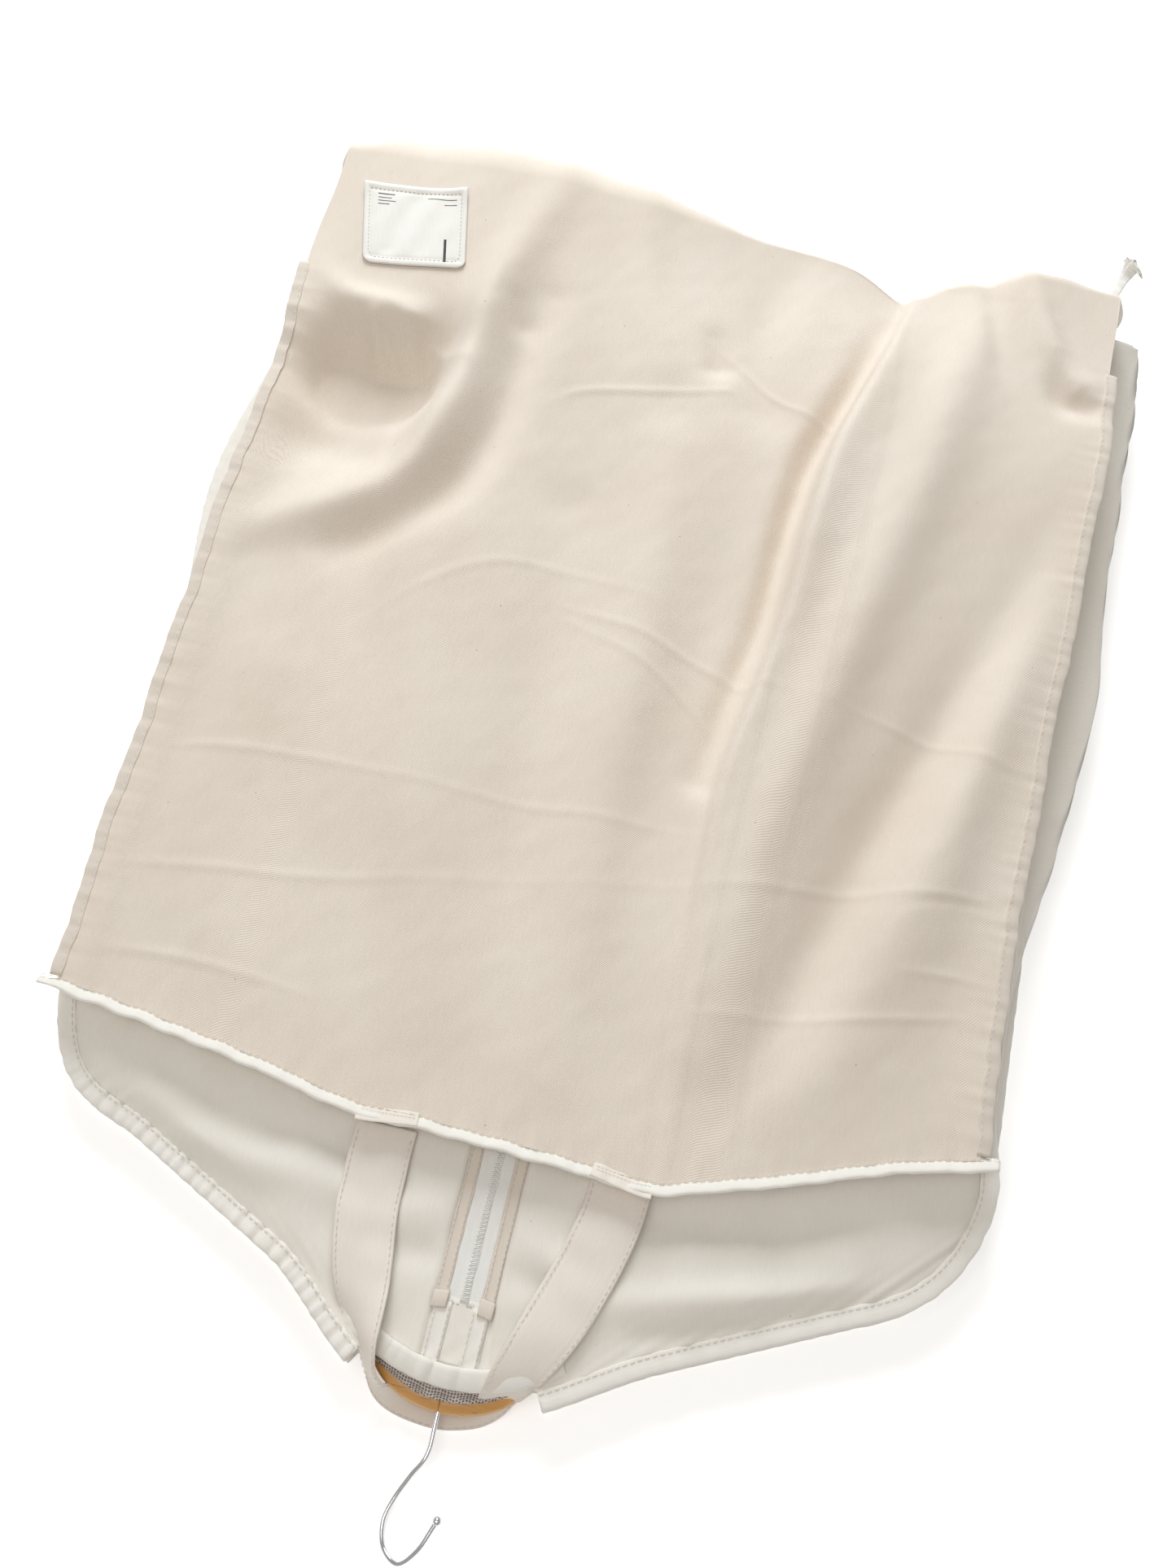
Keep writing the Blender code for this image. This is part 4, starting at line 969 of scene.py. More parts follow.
def side_spread(s, side):
    """How far the upper half's side stands out past its seam: it bulges where the fold squeezes it."""
    if side < 0:
        return 0.021 * bump_at(s, 0.27, 0.105)
    return -0.010 * (1 - ramp(s, 0.60, 0.70))


def shoulder_pull(x):
    """How far the hanging cloth draws a shoulder in from its cut line: more on the left than on the right."""
    middle = ramp(np.abs(x), 0.050, 0.120) * (1 - ramp(np.abs(x), 0.225, 0.292))
    return middle * np.where(x < 0, 0.017, 0.007)


def upper_edge_s(x):
    """How far the upper half's cloth reaches at x: the neck, then down the shoulder's curve."""
    order = np.argsort(SHOULDER_X)
    cut = np.interp(np.abs(x), SHOULDER_X[order], SHOULDER_S[order])
    return np.where(np.abs(x) < NECK_HALF, UPPER_LENGTH, cut - shoulder_pull(x))


UPPER_FOLDS = [
    ("round", [(-0.240, 0.700, 0.001), (-0.190, 0.722, 0.004), (-0.140, 0.730, 0.005), (-0.090, 0.728, 0.003)],
     0.014, 0),
    ("round", [(-0.215, 0.690, -0.002), (-0.160, 0.706, -0.005), (-0.105, 0.708, -0.005), (-0.060, 0.722, -0.003)],
     0.010, 0),
    ("round", [(-0.060, 0.735, 0.003), (-0.020, 0.732, 0.004), (0.030, 0.738, 0.004), (0.070, 0.746, 0.003)],
     0.013, 0),
    ("round", [(-0.060, 0.760, -0.002), (-0.010, 0.757, -0.004), (0.040, 0.760, -0.003)], 0.010, 0),
    ("round", [(0.090, 0.708, -0.004), (0.150, 0.700, -0.007), (0.220, 0.682, -0.004)], 0.014, 0),
    ("round", [(0.070, 0.765, 0.002), (0.110, 0.752, 0.005), (0.160, 0.738, 0.006), (0.220, 0.722, 0.003)],
     0.012, 0),
    ("round", [(0.110, 0.778, -0.003), (0.160, 0.762, -0.005), (0.200, 0.745, -0.002)], 0.008, 0),
    ("round", [(0.100, 0.796, 0.003), (0.130, 0.780, 0.004), (0.150, 0.770, 0.002)], 0.006, 0),
]


def upper_height(x, s):
    """Height of the upper half's face: its slope, folds over the hanger, and a droop at its edge."""
    rim = np.maximum(upper_edge_s(x) - s, 0)
    seen = ramp(s, 0.62, 0.68)
    soft = fold_relief(x, s, UPPER_FOLDS) * seen + 0.0009 * swell(x, s, 12, 0.03, 0.09) * seen
    droop = -0.0060 * np.exp(-rim / 0.016) * ramp(np.abs(x), 0.05, 0.16)
    pucker = 0.0008 * np.exp(-rim / 0.010) * ripple(x + s, 71, 0.008, 0.02)
    keep = 1 - np.exp(-np.maximum(np.abs(x) - 0.017, 0) / 0.010)
    room = ramp(rim, -0.001, 0.02)
    return front_top(s) - 0.0006 + soft * keep * room + (droop + pucker) * seen


def build_upper_front():
    """The two front panels: columns from the zip to the side, rows from the fold to the neck."""
    for side, word in SIDES:
        u = np.sin(np.linspace(0, np.pi / 2, 90))
        x = ZIP_HALF + (SEAM - ZIP_HALF) * u[None, :]
        reach = upper_edge_s(side * x) - 0.0005
        share = np.concatenate([np.linspace(0, 0.72, 40), np.linspace(0.72, 1, 110)[1:]])[:, None]
        s = ZIP_START + (reach - ZIP_START) * share
        spread = side_spread(s, side) * ramp(x, 0.20, SEAM) * flank(s)
        z = upper_height(side * x, s)
        grid = rows_of(side * (x + spread), s, z)
        if side < 0:
            grid = grid[:, ::-1]
        piece = shell(f"front_cloth_{word}", grid, 0.0009, LINING, "upper_half",
                      [f"front_panel_{word}"])


def build_upper_back():
    """The back panel on the floor, which follows the same outline."""
    x = SEAM * np.sin(np.linspace(-np.pi / 2, np.pi / 2, 150))[None, :]
    reach = upper_edge_s(x) - 0.0005
    s = reach * np.linspace(0, 1, 120)[:, None]
    z = 0.0018 + 0.0008 * ramp(swell(x, s, 14, 0.05, 0.12), 0.2, 1.2)
    piece = shell("floor_cloth", rows_of(x + 0 * s, s, z), 0.0014, CANVAS, "upper_half",
                  ["back_panel"])


def outline_route(inset, start, count, side):
    """The upper half's outline from s = start round the shoulder to the neck, as x and s."""
    x, s = shoulder_line(160, inset)
    x = np.concatenate([[SEAM - inset], x])
    s = np.concatenate([[start], s])
    run = np.concatenate([[0], np.cumsum(np.hypot(np.diff(x), np.diff(s)))])
    at = np.linspace(0, run[-1], count)
    x, s = np.interp(at, run, x), np.interp(at, run, s)
    straight = flank(s)
    s = s - shoulder_pull(side * x)
    return side * (x + side_spread(s, side) * straight), s


def build_upper_bindings():
    """The puckered bindings round the front and back edges of the upper half."""
    for side, word in SIDES:
        count = 460
        x, s = outline_route(-0.0040, 0.012, count, side)
        z = upper_height(x * 0.985, s - 0.003) + 0.0002
        route = rows_of(x, s, z)
        _, across, up = frames(route, same(UP, count))
        out = np.sign(np.mean(across[:, 0] * side))
        run = np.cumsum(np.linalg.norm(np.gradient(route, axis=0), axis=1))
        wave = ripple(run, 81 + side, 0.008, 0.020)
        rings = ribbon_rings(route, across, up, 0.0118, 0.0030, groove=-0.55 * out, wave=wave)
        tube(f"shoulder_edge_{word}", rings, WHITE_TRIM, "upper_half",
             [f"front_binding_{word}"])
        seam = route - across * out * 0.0038 + up * 0.0012
        stitches(f"shoulder_edge_stitches_{word}", seam, up, BINDING_STITCH, THREAD, "upper_half")
        x, s = outline_route(-0.0052, 0.004, count, side)
        x = x - side * side_spread(s, side) * flank(s)
        z = 0.0024 + 0.0008 * np.clip(ripple(s, 84, 0.05, 0.12), 0, 2)
        route = rows_of(x, s, z)
        _, across, up = frames(route, same(UP, count))
        rings = ribbon_rings(route, across, up, 0.0115, 0.0034, groove=-0.55 * out, wave=wave)
        tube(f"floor_edge_{word}", rings, WHITE_TRIM, "upper_half", [f"back_binding_{word}"])


def build_upper_walls():
    """Side walls: strips from the floor cloth to the front that bulge out, the right one open at its zip."""
    s = np.linspace(0.001, SIDE_END, 260)[None, :]
    t = np.linspace(0, 1, 13)[:, None]
    high = upper_height(-SEAM + 0 * s, s) - 0.0016
    bulge = 0.010 * bump_at(s, 0.25, 0.14) + 0.002
    wrinkle = 0.0016 * ripple(s + 0.3 * t, 90, 0.03, 0.09) * np.sin(np.pi * t)
    x = SEAM - 0.001 + side_spread(s, -1) * t + bulge * np.sin(np.pi * t) + wrinkle
    grid = rows_of(-x, s + 0 * t, high + (0.0030 - high) * t)
    grid[..., 0] = grid[::-1, :, 0]
    piece = shell("side_wall_left", grid, WALL_THICK, LINING, "upper_half", ["side_gusset_left"])

    high = upper_height(SEAM + 0 * s, s) - 0.0016
    gap = 0.0006 + 0.0092 * (1 - ramp(s, SIDE_ZIP_END - 0.008, SIDE_ZIP_END + 0.006))
    full = 0.034 * (1 - ramp(s, 0.28, 0.60)) + 0.004
    full = full * (1 + 0.06 * ripple(s, 93, 0.12, 0.30))
    for word, foot_x, foot_z, head_x, head_z, lobe in (
            ("lower", SEAM - 0.001, 0.0030 + 0 * s, SIDE_LIP_X, SIDE_ZIP_Z - gap, 0.45 * full),
            ("upper", SIDE_LIP_X, SIDE_ZIP_Z + gap, SEAM - 0.001 + side_spread(s, 1), high, full)):
        wrinkle = 1 + 0.05 * ripple(s + 0.35 * t, 94, 0.07, 0.16)
        x = foot_x + (head_x - foot_x) * t + lobe * np.sin(np.pi * t) ** 0.8 * wrinkle
        grid = rows_of(np.minimum(x, WALL_LIMIT), s + 0 * t, foot_z + (head_z - foot_z) * t)
        nodes = ["side_gusset_right"] if word == "upper" else []
        piece = shell(f"side_wall_{word}_right", grid, WALL_THICK, LINING, "upper_half", nodes)


def build_side_zip():
    """The side zip's two tapes, their teeth and the stitching at each tape's root, apart along the open mouth."""
    s = np.linspace(0.050, SIDE_ZIP_END + 0.001, 180)[None, :]
    apart = 0.0044 * (1 - ramp(s, SIDE_ZIP_END - 0.010, SIDE_ZIP_END)) + 0.0010
    for turn, word in ((-1, "lower"), (1, "upper")):
        t = np.linspace(0, 1, 7)[:, None]
        z = SIDE_ZIP_Z + turn * (apart + 0.0062 * t)
        x = SIDE_TAPE_X + 0.0005 * ripple(s + t, 96 + turn, 0.03, 0.08)
        grid = rows_of(x, s + 0 * t, z)
        if turn < 0:
            grid = grid[::-1]
        shell(f"side_tape_{word}", grid, WALL_THICK, ZIP_TAPE, "upper_half",
              [f"side_zip_tape_{word}"])
        along = np.arange(0.052, SIDE_ZIP_END, SIDE_PITCH)
        edge = SIDE_ZIP_Z + turn * (np.interp(along, s[0], apart[0]) - 0.0004)
        at = rows_of(SIDE_TAPE_X + 0 * along, along, edge)
        count = len(along)
        bars(f"side_teeth_{word}", at, same((0.0, 0.12, 0.9928), count), same(OUT, count), SIDE_TOOTH, COIL,
             "upper_half")
        row = rows_of(SEAM - 0.0018 + 0 * s[0], s[0], SIDE_ZIP_Z + turn * (apart[0] + 0.0050))
        stitches(f"side_zip_stitches_{word}", row, same(OUT, s.size), ZIP_STITCH, THREAD, "upper_half")
    # The stop: a bar sewn and crimped over both tapes where they meet
    a = np.linspace(0, np.pi, 9)
    route = rows_of(SEAM - 0.0018 + 0.0009 * np.sin(a), 0.3985 + 0 * a, SIDE_ZIP_Z - 0.0040 * np.cos(a))
    _, across, up = frames(route, same(OUT, len(a)))
    tube("side_stop", ribbon_rings(route, across, up, 0.0024, 0.0010), NICKEL, "upper_half",
         ["side_zip_bottom_stop"])


TAILS = {"upper": [(0.2890, -0.002, 0.0560), (0.2905, -0.011, 0.0640), (0.2940, -0.020, 0.0730),
                   (0.2975, -0.027, 0.0815), (0.3000, -0.027, 0.0890), (0.3030, -0.019, 0.0925)],
         "lower": [(0.2890, -0.006, 0.0500), (0.2910, -0.018, 0.0540), (0.2945, -0.028, 0.0590),
                   (0.2975, -0.037, 0.0655), (0.2990, -0.042, 0.0735), (0.2980, -0.040, 0.0810)]}


def build_tails():
    """The side zip's loose ends past the fold: curled ribbed tapes, each with a stop and frayed threads."""
    for word, places in TAILS.items():
        line = curve(places, 90)
        route = rows_of(line[:, 0], line[:, 1], line[:, 2])
        run = np.cumsum(np.linalg.norm(np.gradient(route, axis=0), axis=1))
        _, across, up = frames(route, same((0.55, 0.55, 0.3), len(route)))
        ribs = 0.0008 + 0.00030 * np.sin(2 * np.pi * run / 0.0016)
        rings = ribbon_rings(route, across, up, 0.0090, 2 * ribs)
        tube(f"side_tail_{word}", rings, ZIP_TAPE, "fold_roll", [f"side_zip_tail_{word}"])
        edge = route + across * 0.0040 + up * 0.0006
        count = int(run[-1] / SIDE_PITCH)
        near, whole = np.linspace(0.002, run[-1] - 0.006, count), np.linspace(0, run[-1], count)
        at = np.stack([np.interp(near, run, edge[:, i]) for i in range(3)], -1)
        way = np.stack([np.interp(whole, run, across[:, i]) for i in range(3)], -1)
        lift = np.stack([np.interp(whole, run, up[:, i]) for i in range(3)], -1)
        bars(f"side_tail_teeth_{word}", at, way, lift, SIDE_TOOTH, COIL, "fold_roll")
        a = np.linspace(0, np.pi, 9)[:, None]
        k = int(0.80 * len(route))
        stop = edge[k] + across[k] * (0.0018 * np.cos(a)) + up[k] * (0.0012 * np.sin(a))
        along = frames(route, up)[0]
        _, side_way, out = frames(stop, same(up[k] + 0.01 * along[k], 9))
        tube(f"side_tail_stop_{word}", ribbon_rings(stop, side_way, out, 0.0024, 0.0010), NICKEL, "fold_roll",
             [f"side_zip_stop_{word}"])
        rng = np.random.default_rng(97 if word == "upper" else 98)
        count, size = 14, (0.0055, 0.00016)
        starts = route[-1] + across[-1] * rng.uniform(-0.0042, 0.0042, count)[:, None]
        ways = along[-1] + rng.normal(0, 0.32, (count, 3))
        ways /= np.linalg.norm(ways, axis=1, keepdims=True)
        bars(f"side_tail_threads_{word}", starts + ways * size[0] / 2, ways, same(up[-1], count), size,
             THREAD, "fold_roll")


def build_flap_lining():
    """The folded half's front, which lies face down on the upper half, with the bindings along its sides."""
    for side, word, edge in EDGES:
        u = np.linspace(0, 1, 70)[None, :]
        share = np.linspace(0, 1, 160)[:, None]
        outer = np.abs(edge(0.3 + 0 * share)) - 0.004
        x = ZIP_HALF + (outer - ZIP_HALF) * u
        s = ZIP_START + (hem_edge(side * x) - 0.006 - ZIP_START) * share
        x = ZIP_HALF + (np.abs(edge(s)) - 0.004 - ZIP_HALF) * u
        soft = np.clip(0.0010 + 0.0009 * swell(x, s, 15 + side, 0.05, 0.14), 0.0002, 0.0026)
        soft = soft * ramp(u, 0.0, 0.06) * (1 - ramp(u, 0.94, 1.0)) * ramp(s, ZIP_START, 0.090)
        grid = rows_of(side * x, s, front_low(s) + soft + 0.0006)
        if side > 0:
            grid = grid[:, ::-1]
        piece = shell(f"flap_front_cloth_{word}", grid, WALL_THICK, LINING, "flap",
                      [f"flap_front_{word}"])

        def height(s):
            return front_low(s) + 0.0016
        ends = (0.014, 0.644 if side < 0 else 0.622)
        seam, up = edge_band(f"flap_inner_edge_{word}", side, 0.0030, [f"flap_inner_binding_{word}"],
                             45 + side, ends, height, edge, width=0.0095)
        stitches(f"flap_inner_stitches_{word}", seam - up * 0.0026, -up, BINDING_STITCH, THREAD, "flap")

    def under(x, s):
        return front_low(s) + 0 * x
    strip("zip_tab_lower", -TAB_HALF, TAB_HALF, 0.655, 0.683, under, LINING, "flap", "lining",
          ["zip_end_tab"], 111, rise=0.0002, cols=20)
    for side, word in SIDES:
        s = np.linspace(0.658, 0.680, 40)
        route = rows_of(side * 0.0150, s, under(0, s) - 0.0009)
        stitches(f"zip_tab_lower_stitches_{word}", route, same((0, 0, -1), len(s)), ZIP_STITCH, THREAD,
                 "flap")


def build_shoulder_nets():
    """The net walls over the shoulders, from the floor cloth up to the front cloth."""
    for side, word in SIDES:
        x, s = shoulder_line(170, 0.0022)
        t = np.linspace(0, 1, 10)[:, None]
        low, high = 0.0030, upper_height(side * x, s - 0.002) - 0.0018
        bow = 0.0022 * np.sin(np.pi * t)
        s = s - shoulder_pull(side * x)
        grid = rows_of(side * (x + bow * 0.5), s + bow * 0.6, high + (low - high) * t)
        if side > 0:
            grid = grid[:, ::-1]
        shell(f"shoulder_net_{word}", grid, 0.0007, NET, "upper_half", [f"shoulder_mesh_{word}"])


def build_crease():
    """The inside of the fold: front cloth, tapes and coil carried round the fold axis in a small U."""
    far, tight = 0.0600, 0.0012
    share = np.linspace(1, 0, 22)[:, None]
    bend = np.linspace(-np.pi / 2, np.pi / 2, 9)[1:-1, None]
    parts = [("left", -SEAM + 0.001, -TAB_HALF, LINING, "lining"),
             ("right", TAB_HALF, SEAM - 0.001, LINING, "lining"),
             ("tape_left", -0.0102, -0.0024, ZIP_TAPE, "tape"),
             ("tape_right", 0.0024, 0.0102, ZIP_TAPE, "tape"),
             ("facing_left", -0.0174, -0.0104, TRIM, "binding"),
             ("facing_right", 0.0104, 0.0174, TRIM, "binding"),
             ("coil", -0.0021, 0.0021, COIL, "coil")]
    for word, low_x, high_x, finish, slot in parts:
        x = np.linspace(low_x, high_x, 60 if high_x - low_x > 0.1 else 8)[None, :]
        behind = through(x, FOLD_PLACES, FOLD_BACK) - through(x, FOLD_PLACES, FOLD_REACH) + 0.006
        near = np.maximum(0.0012, behind) + tight
        legs = near + (far - near) * share
        low, high = front_top(legs) - 0.0018, front_low(legs) + 0.0018
        middle, half = (low[-1:] + high[-1:]) / 2, (high[-1:] - low[-1:]) / 2
        s = np.concatenate([legs, near - tight * np.cos(bend), legs[::-1]])
        z = np.concatenate([low, middle + half * np.sin(bend), high[::-1]])
        grid = rows_of(x + 0 * s, s, z)
        piece = shell(f"crease_{word}", grid, 0.0006, finish, None)
        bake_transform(piece)


def build_roll_ends():
    """The gathered cloth that closes the roll's ends: a fan from the fold axis to the roll's rim."""
    for side, word in SIDES:
        turn = np.linspace(0, 1, 60)[:, None]
        edge = left_edge(0.0) if side < 0 else right_edge(0.0)
        s, z = roll_section(np.array([[edge]]), turn)
        share = np.linspace(0, 1, 16)[None, :]
        hub_s, hub_z = 0.010, FOLD_Z
        fs = hub_s + (s - hub_s) * share
        fz = hub_z + (z - hub_z) * share
        pleats = 0.0016 * np.sin(turn * 2 * np.pi * 3.5 + 0.9 * share + side) * np.sin(np.pi * share)
        x = edge + side * (0.006 * np.sin(np.pi * share) - 0.001 + pleats)
        grid = rows_of(x, fs, np.maximum(fz, 0.0008))
        if side < 0:
            grid = grid[:, ::-1]
        piece = shell(f"roll_end_{word}", grid, 0.0007, LINING, None, [f"fold_gusset_{word}"])
        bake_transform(piece)


# ---------------------------------------------------------------- zip, neck and label

def strip(name, x0, x1, s0, s1, height, finish, body, slot, nodes, seed, thick=0.0009, rise=0.0005, cols=7):
    """A narrow strip of cloth along the bag with slightly raised edges and a little unevenness."""
    s = np.linspace(s0, s1, max(12, int((s1 - s0) / 0.003)))[:, None]
    u = np.linspace(0, 1, cols)[None, :]
    x = x0 + (x1 - x0) * u + 0.00025 * ripple(s, seed, 0.02, 0.06)
    z = height(x, s) + rise * (0.5 + 0.5 * np.abs(2 * u - 1) ** 2) + 0.00012 * ripple(s + 3 * u, seed + 1)
    return shell(name, rows_of(x, s + 0 * u, z), thick, finish, body, nodes)


def build_front_zip():
    """The front zip on both halves: facings, tapes, a closed nylon coil and the tab above it."""
    def below_flap(x, s):
        return front_low(s) + 0.0010 + 0 * x

    for half, turn, s1, height, body in (("upper", 1, 0.779, upper_height, "upper_half"),
                                         ("lower", -1, 0.656, below_flap, "flap")):
        tail = "" if half == "upper" else "lower_"
        for side, name in SIDES:
            edges = sorted((side * 0.0103, side * 0.0180))
            strip(f"zip_face_{half}_{name}", *edges, ZIP_START, s1, height, TRIM, body, "binding",
                  [f"zip_facing_{tail}{name}"], 101 + side, rise=0.0008)
            edges = sorted((side * 0.0018, side * 0.0106))
            strip(f"zip_tape_{half}_cloth_{name}", *edges, ZIP_START, s1 + 0.002, height, ZIP_TAPE, body,
                  "tape", [f"zip_tape_{half}_{name}"], 103 + side, rise=0.0002)
            s = np.linspace(0.048, s1 - 0.002, 500)
            for index, x in enumerate((0.0116, ZIP_HALF) if turn > 0 else (0.0116,)):
                route = rows_of(side * x, s, height(side * x, s) + (0.00145 if turn > 0 else -0.0009))
                stitches(f"zip_stitches_{half}_{name}_{index}", route, same((0, 0, turn), len(s)),
                         ZIP_STITCH, THREAD, body)
        s = np.arange(0.047, s1 - 0.001, FRONT_PITCH)
        number = np.arange(len(s))
        way = same((1.0, 0.16, 0.0), len(s)) / math.hypot(1, 0.16)
        level = height(0 * s, s) + (0.0010 if turn > 0 else 0.0004)
        at = rows_of(np.where(number % 2, 0.00055, -0.00055), s, level)
        strip(f"zip_base_{half}", -0.0026, 0.0026, 0.0465, s1, lambda x, s: height(x, s) + 0.0005 * turn,
              COIL, body, "coil", [], 105, rise=0.0001)
        bars(f"zip_teeth_{half}", at, way, same(UP, len(s)), FRONT_TOOTH, COIL, body,
             [f"zip_coil_{half}"])
        for side, name in SIDES:
            route = rows_of(side * 0.00125, s, level + turn * 0.00042)
            stitches(f"zip_core_{half}_{name}", route, same((0, 0, turn), len(s)), CORE_STITCH, COIL, body,
                     gap=0.12, radius=0.00026)

    strip("zip_tab_cloth", -TAB_HALF, TAB_HALF, 0.7770, 0.8150, upper_height, LINING, "upper_half",
          "lining", ["zip_top_tab"], 107, rise=0.0002, cols=20)
    for side, name in SIDES:
        edges = sorted((side * 0.0065, side * 0.0165))
        strip(f"zip_tab_strip_{name}", *edges, 0.7800, 0.8200, upper_height, WHITE_TRIM, "upper_half",
              "lining", [], 109 + side, rise=0.0013)
        x = np.linspace(*sorted((side * 0.0095, side * 0.0188)), 8)[None, :]
        s = np.linspace(0.7745, 0.7850, 8)[:, None]
        bulge = 0.0019 + 0.0008 * np.sin(np.pi * (s - 0.7745) / 0.0105)
        grid = rows_of(x + 0 * s, s + 0.15 * side * (x - side * 0.014), upper_height(x, s) + bulge)
        shell(f"zip_facing_end_{name}", grid, 0.0012, TRIM, "upper_half")
        s = np.linspace(0.782, 0.817, 60)
        for index, place in enumerate((0.0075, 0.0155)):
            route = rows_of(side * place, s, upper_height(side * place, s) + 0.0022)
            stitches(f"tab_stitches_{name}_{index}", route, same(UP, len(s)), ZIP_STITCH, THREAD,
                     "upper_half")


def build_neck():
    """The neck's thick white bindings, and the net that shows between the neck and the wood."""
    x = np.linspace(-0.066, 0.066, 130)
    s = 0.8205 - 0.0150 * (x / 0.055) ** 2
    z = upper_height(x, s - 0.004) + 0.0004 - 0.002 * ramp(np.abs(x), 0.045, 0.066)
    route = rows_of(x, s, z)
    _, across, up = frames(route, same((0, -0.25, 1.0), len(x)))
    rings = ribbon_rings(route, across, up, 0.0135, 0.0046, wave=ripple(x, 121, 0.008, 0.02))
    tube("neck_edge_front", rings, WHITE_TRIM, "upper_half", ["neck_binding_front"])
    seam = rows_of(x, s - 0.0052, z + 0.0021)
    stitches("neck_stitches", seam, up, STRAP_STITCH, THREAD, "upper_half")
    low = rows_of(x, s + 0.001, 0.0021 + 0 * x)
    rings = ribbon_rings(low, across, up, 0.0105, 0.0028, wave=ripple(x, 123, 0.01, 0.02))
    tube("neck_edge_back", rings, WHITE_TRIM, "upper_half", ["neck_binding_back"])
    x = np.linspace(-0.058, 0.058, 90)[None, :]
    t = np.linspace(0, 1, 14)[:, None]
    s0 = 0.8215 - 0.0150 * (x / 0.055) ** 2
    reach = 0.0125 * (1 - (x / 0.070) ** 2)
    z = 0.0212 - 0.0012 * t + 0.0004 * ripple(x + 0.2 * t, 125, 0.02, 0.05)
    grid = rows_of(x + 0 * t, s0 + reach * t, z - 0.006 * (x / 0.058) ** 4)
    shell("neck_net", grid, WALL_THICK, NET, "upper_half")


LABEL_CORNERS = [(-0.272, 0.031), (-0.193, 0.025), (-0.178, 0.092), (-0.254, 0.100)]


def label_place(u, v):
    """A place on the label, u across and v down: its four corners blended, with bowed sides."""
    a, b, c, d = [np.array(p) for p in LABEL_CORNERS]
    u, v = np.asarray(u, float)[..., None], np.asarray(v, float)[..., None]
    flat = (a * (1 - u) + b * u) * (1 - v) + (d * (1 - u) + c * u) * v
    flat = flat + np.array([0, 0.0022]) * np.sin(np.pi * u) * v
    return flat[..., 0], flat[..., 1]


def label_height(u, v):
    """Height over the cloth: a quilted middle, a raised turned edge and lifted corners."""
    x, s = label_place(u, v)
    near = np.minimum(np.minimum(u, 1 - u) * 0.078, np.minimum(v, 1 - v) * 0.058)
    rim = 0.0007 * bump_at(near, 0.0022, 0.0016) - 0.0005 * bump_at(near, 0.0050, 0.0010)
    corner = 0
    for cu, cv in ((0, 0), (1, 0)):
        away = np.hypot((u - cu) * 0.078, (v - cv) * 0.058)
        corner = corner + 0.0022 * np.exp(-((away / 0.010) ** 2))
    puff = 0.0006 * ripple(0.078 * u + 0.03 * v, 131, 0.02, 0.05) * ramp(near, 0.002, 0.012)
    return back_height(x, s) + 0.0016 + rim + corner + puff


def build_label():
    """The sewn label with its turned edge, stitching and plain ruled lines."""
    u = np.linspace(0, 1, 79)[None, :]
    v = np.linspace(0, 1, 59)[:, None]
    # The two lower corners are round
    r = 0.09
    du = np.clip((r - np.minimum(u, 1 - u)) / r, 0, 1) * ramp(v, 1 - 1.3 * r, 1)
    pull = 1 - np.sqrt(np.maximum(1 - du**2, 0.0))
    v2 = v - pull * 0.085 * ramp(v, 0.80, 1)
    x, s = label_place(u + 0 * v, v2)
    grid = rows_of(x, s, label_height(u + 0 * v, v2))
    piece = shell("label_cloth", grid, WALL_THICK, LABEL, "flap", ["label_patch"])
    inset_u, inset_v = 0.055, 0.075
    loop = np.array([(inset_u, inset_v), (1 - inset_u, inset_v), (1 - inset_u, 0.86), (0.90, 1 - inset_v),
                     (0.10, 1 - inset_v), (inset_u, 0.86), (inset_u, inset_v)])
    fine = np.concatenate([np.linspace(a, b, 30)[:-1] for a, b in zip(loop, loop[1:])])
    x, s = label_place(fine[:, 0], fine[:, 1])
    route = rows_of(x, s, label_height(fine[:, 0], fine[:, 1]) + 0.00025)
    stitches("label_stitches", route, same(UP, len(x)), LABEL_STITCH, THREAD, "flap")
    # Each ruled line: its ends across, its place down and its width
    rules = [(0.14, 0.30, 0.135, 0.012), (0.14, 0.27, 0.185, 0.008), (0.14, 0.31, 0.225, 0.008),
             (0.14, 0.25, 0.265, 0.008), (0.62, 0.90, 0.150, 0.008), (0.78, 0.90, 0.215, 0.008)]
    points, faces = [], []
    for u0, u1, v0, w in rules:
        add_rule(points, faces, np.linspace(u0, u1, 16), v0, w)
    add_rule(points, faces, np.linspace(0.790, 0.815, 4), 0.66, 0.28)
    make("label_rules", np.concatenate(points), np.concatenate(faces), INK, "flap")


def add_rule(points, faces, u, v0, w):
    """One printed line: a thin strip just over the label's face."""
    u = u[None, :]
    v = np.linspace(v0, v0 + w, 6)[:, None]
    x, s = label_place(u + 0 * v, v + 0 * u)
    grid = rows_of(x, s, label_height(u + 0 * v, v + 0 * u) + 0.00012)
    faces.append(quads(*grid.shape[:2], start=sum(len(p) for p in points)))
    points.append(grid.reshape(-1, 3))


# ---------------------------------------------------------------- strap, hanger and hook

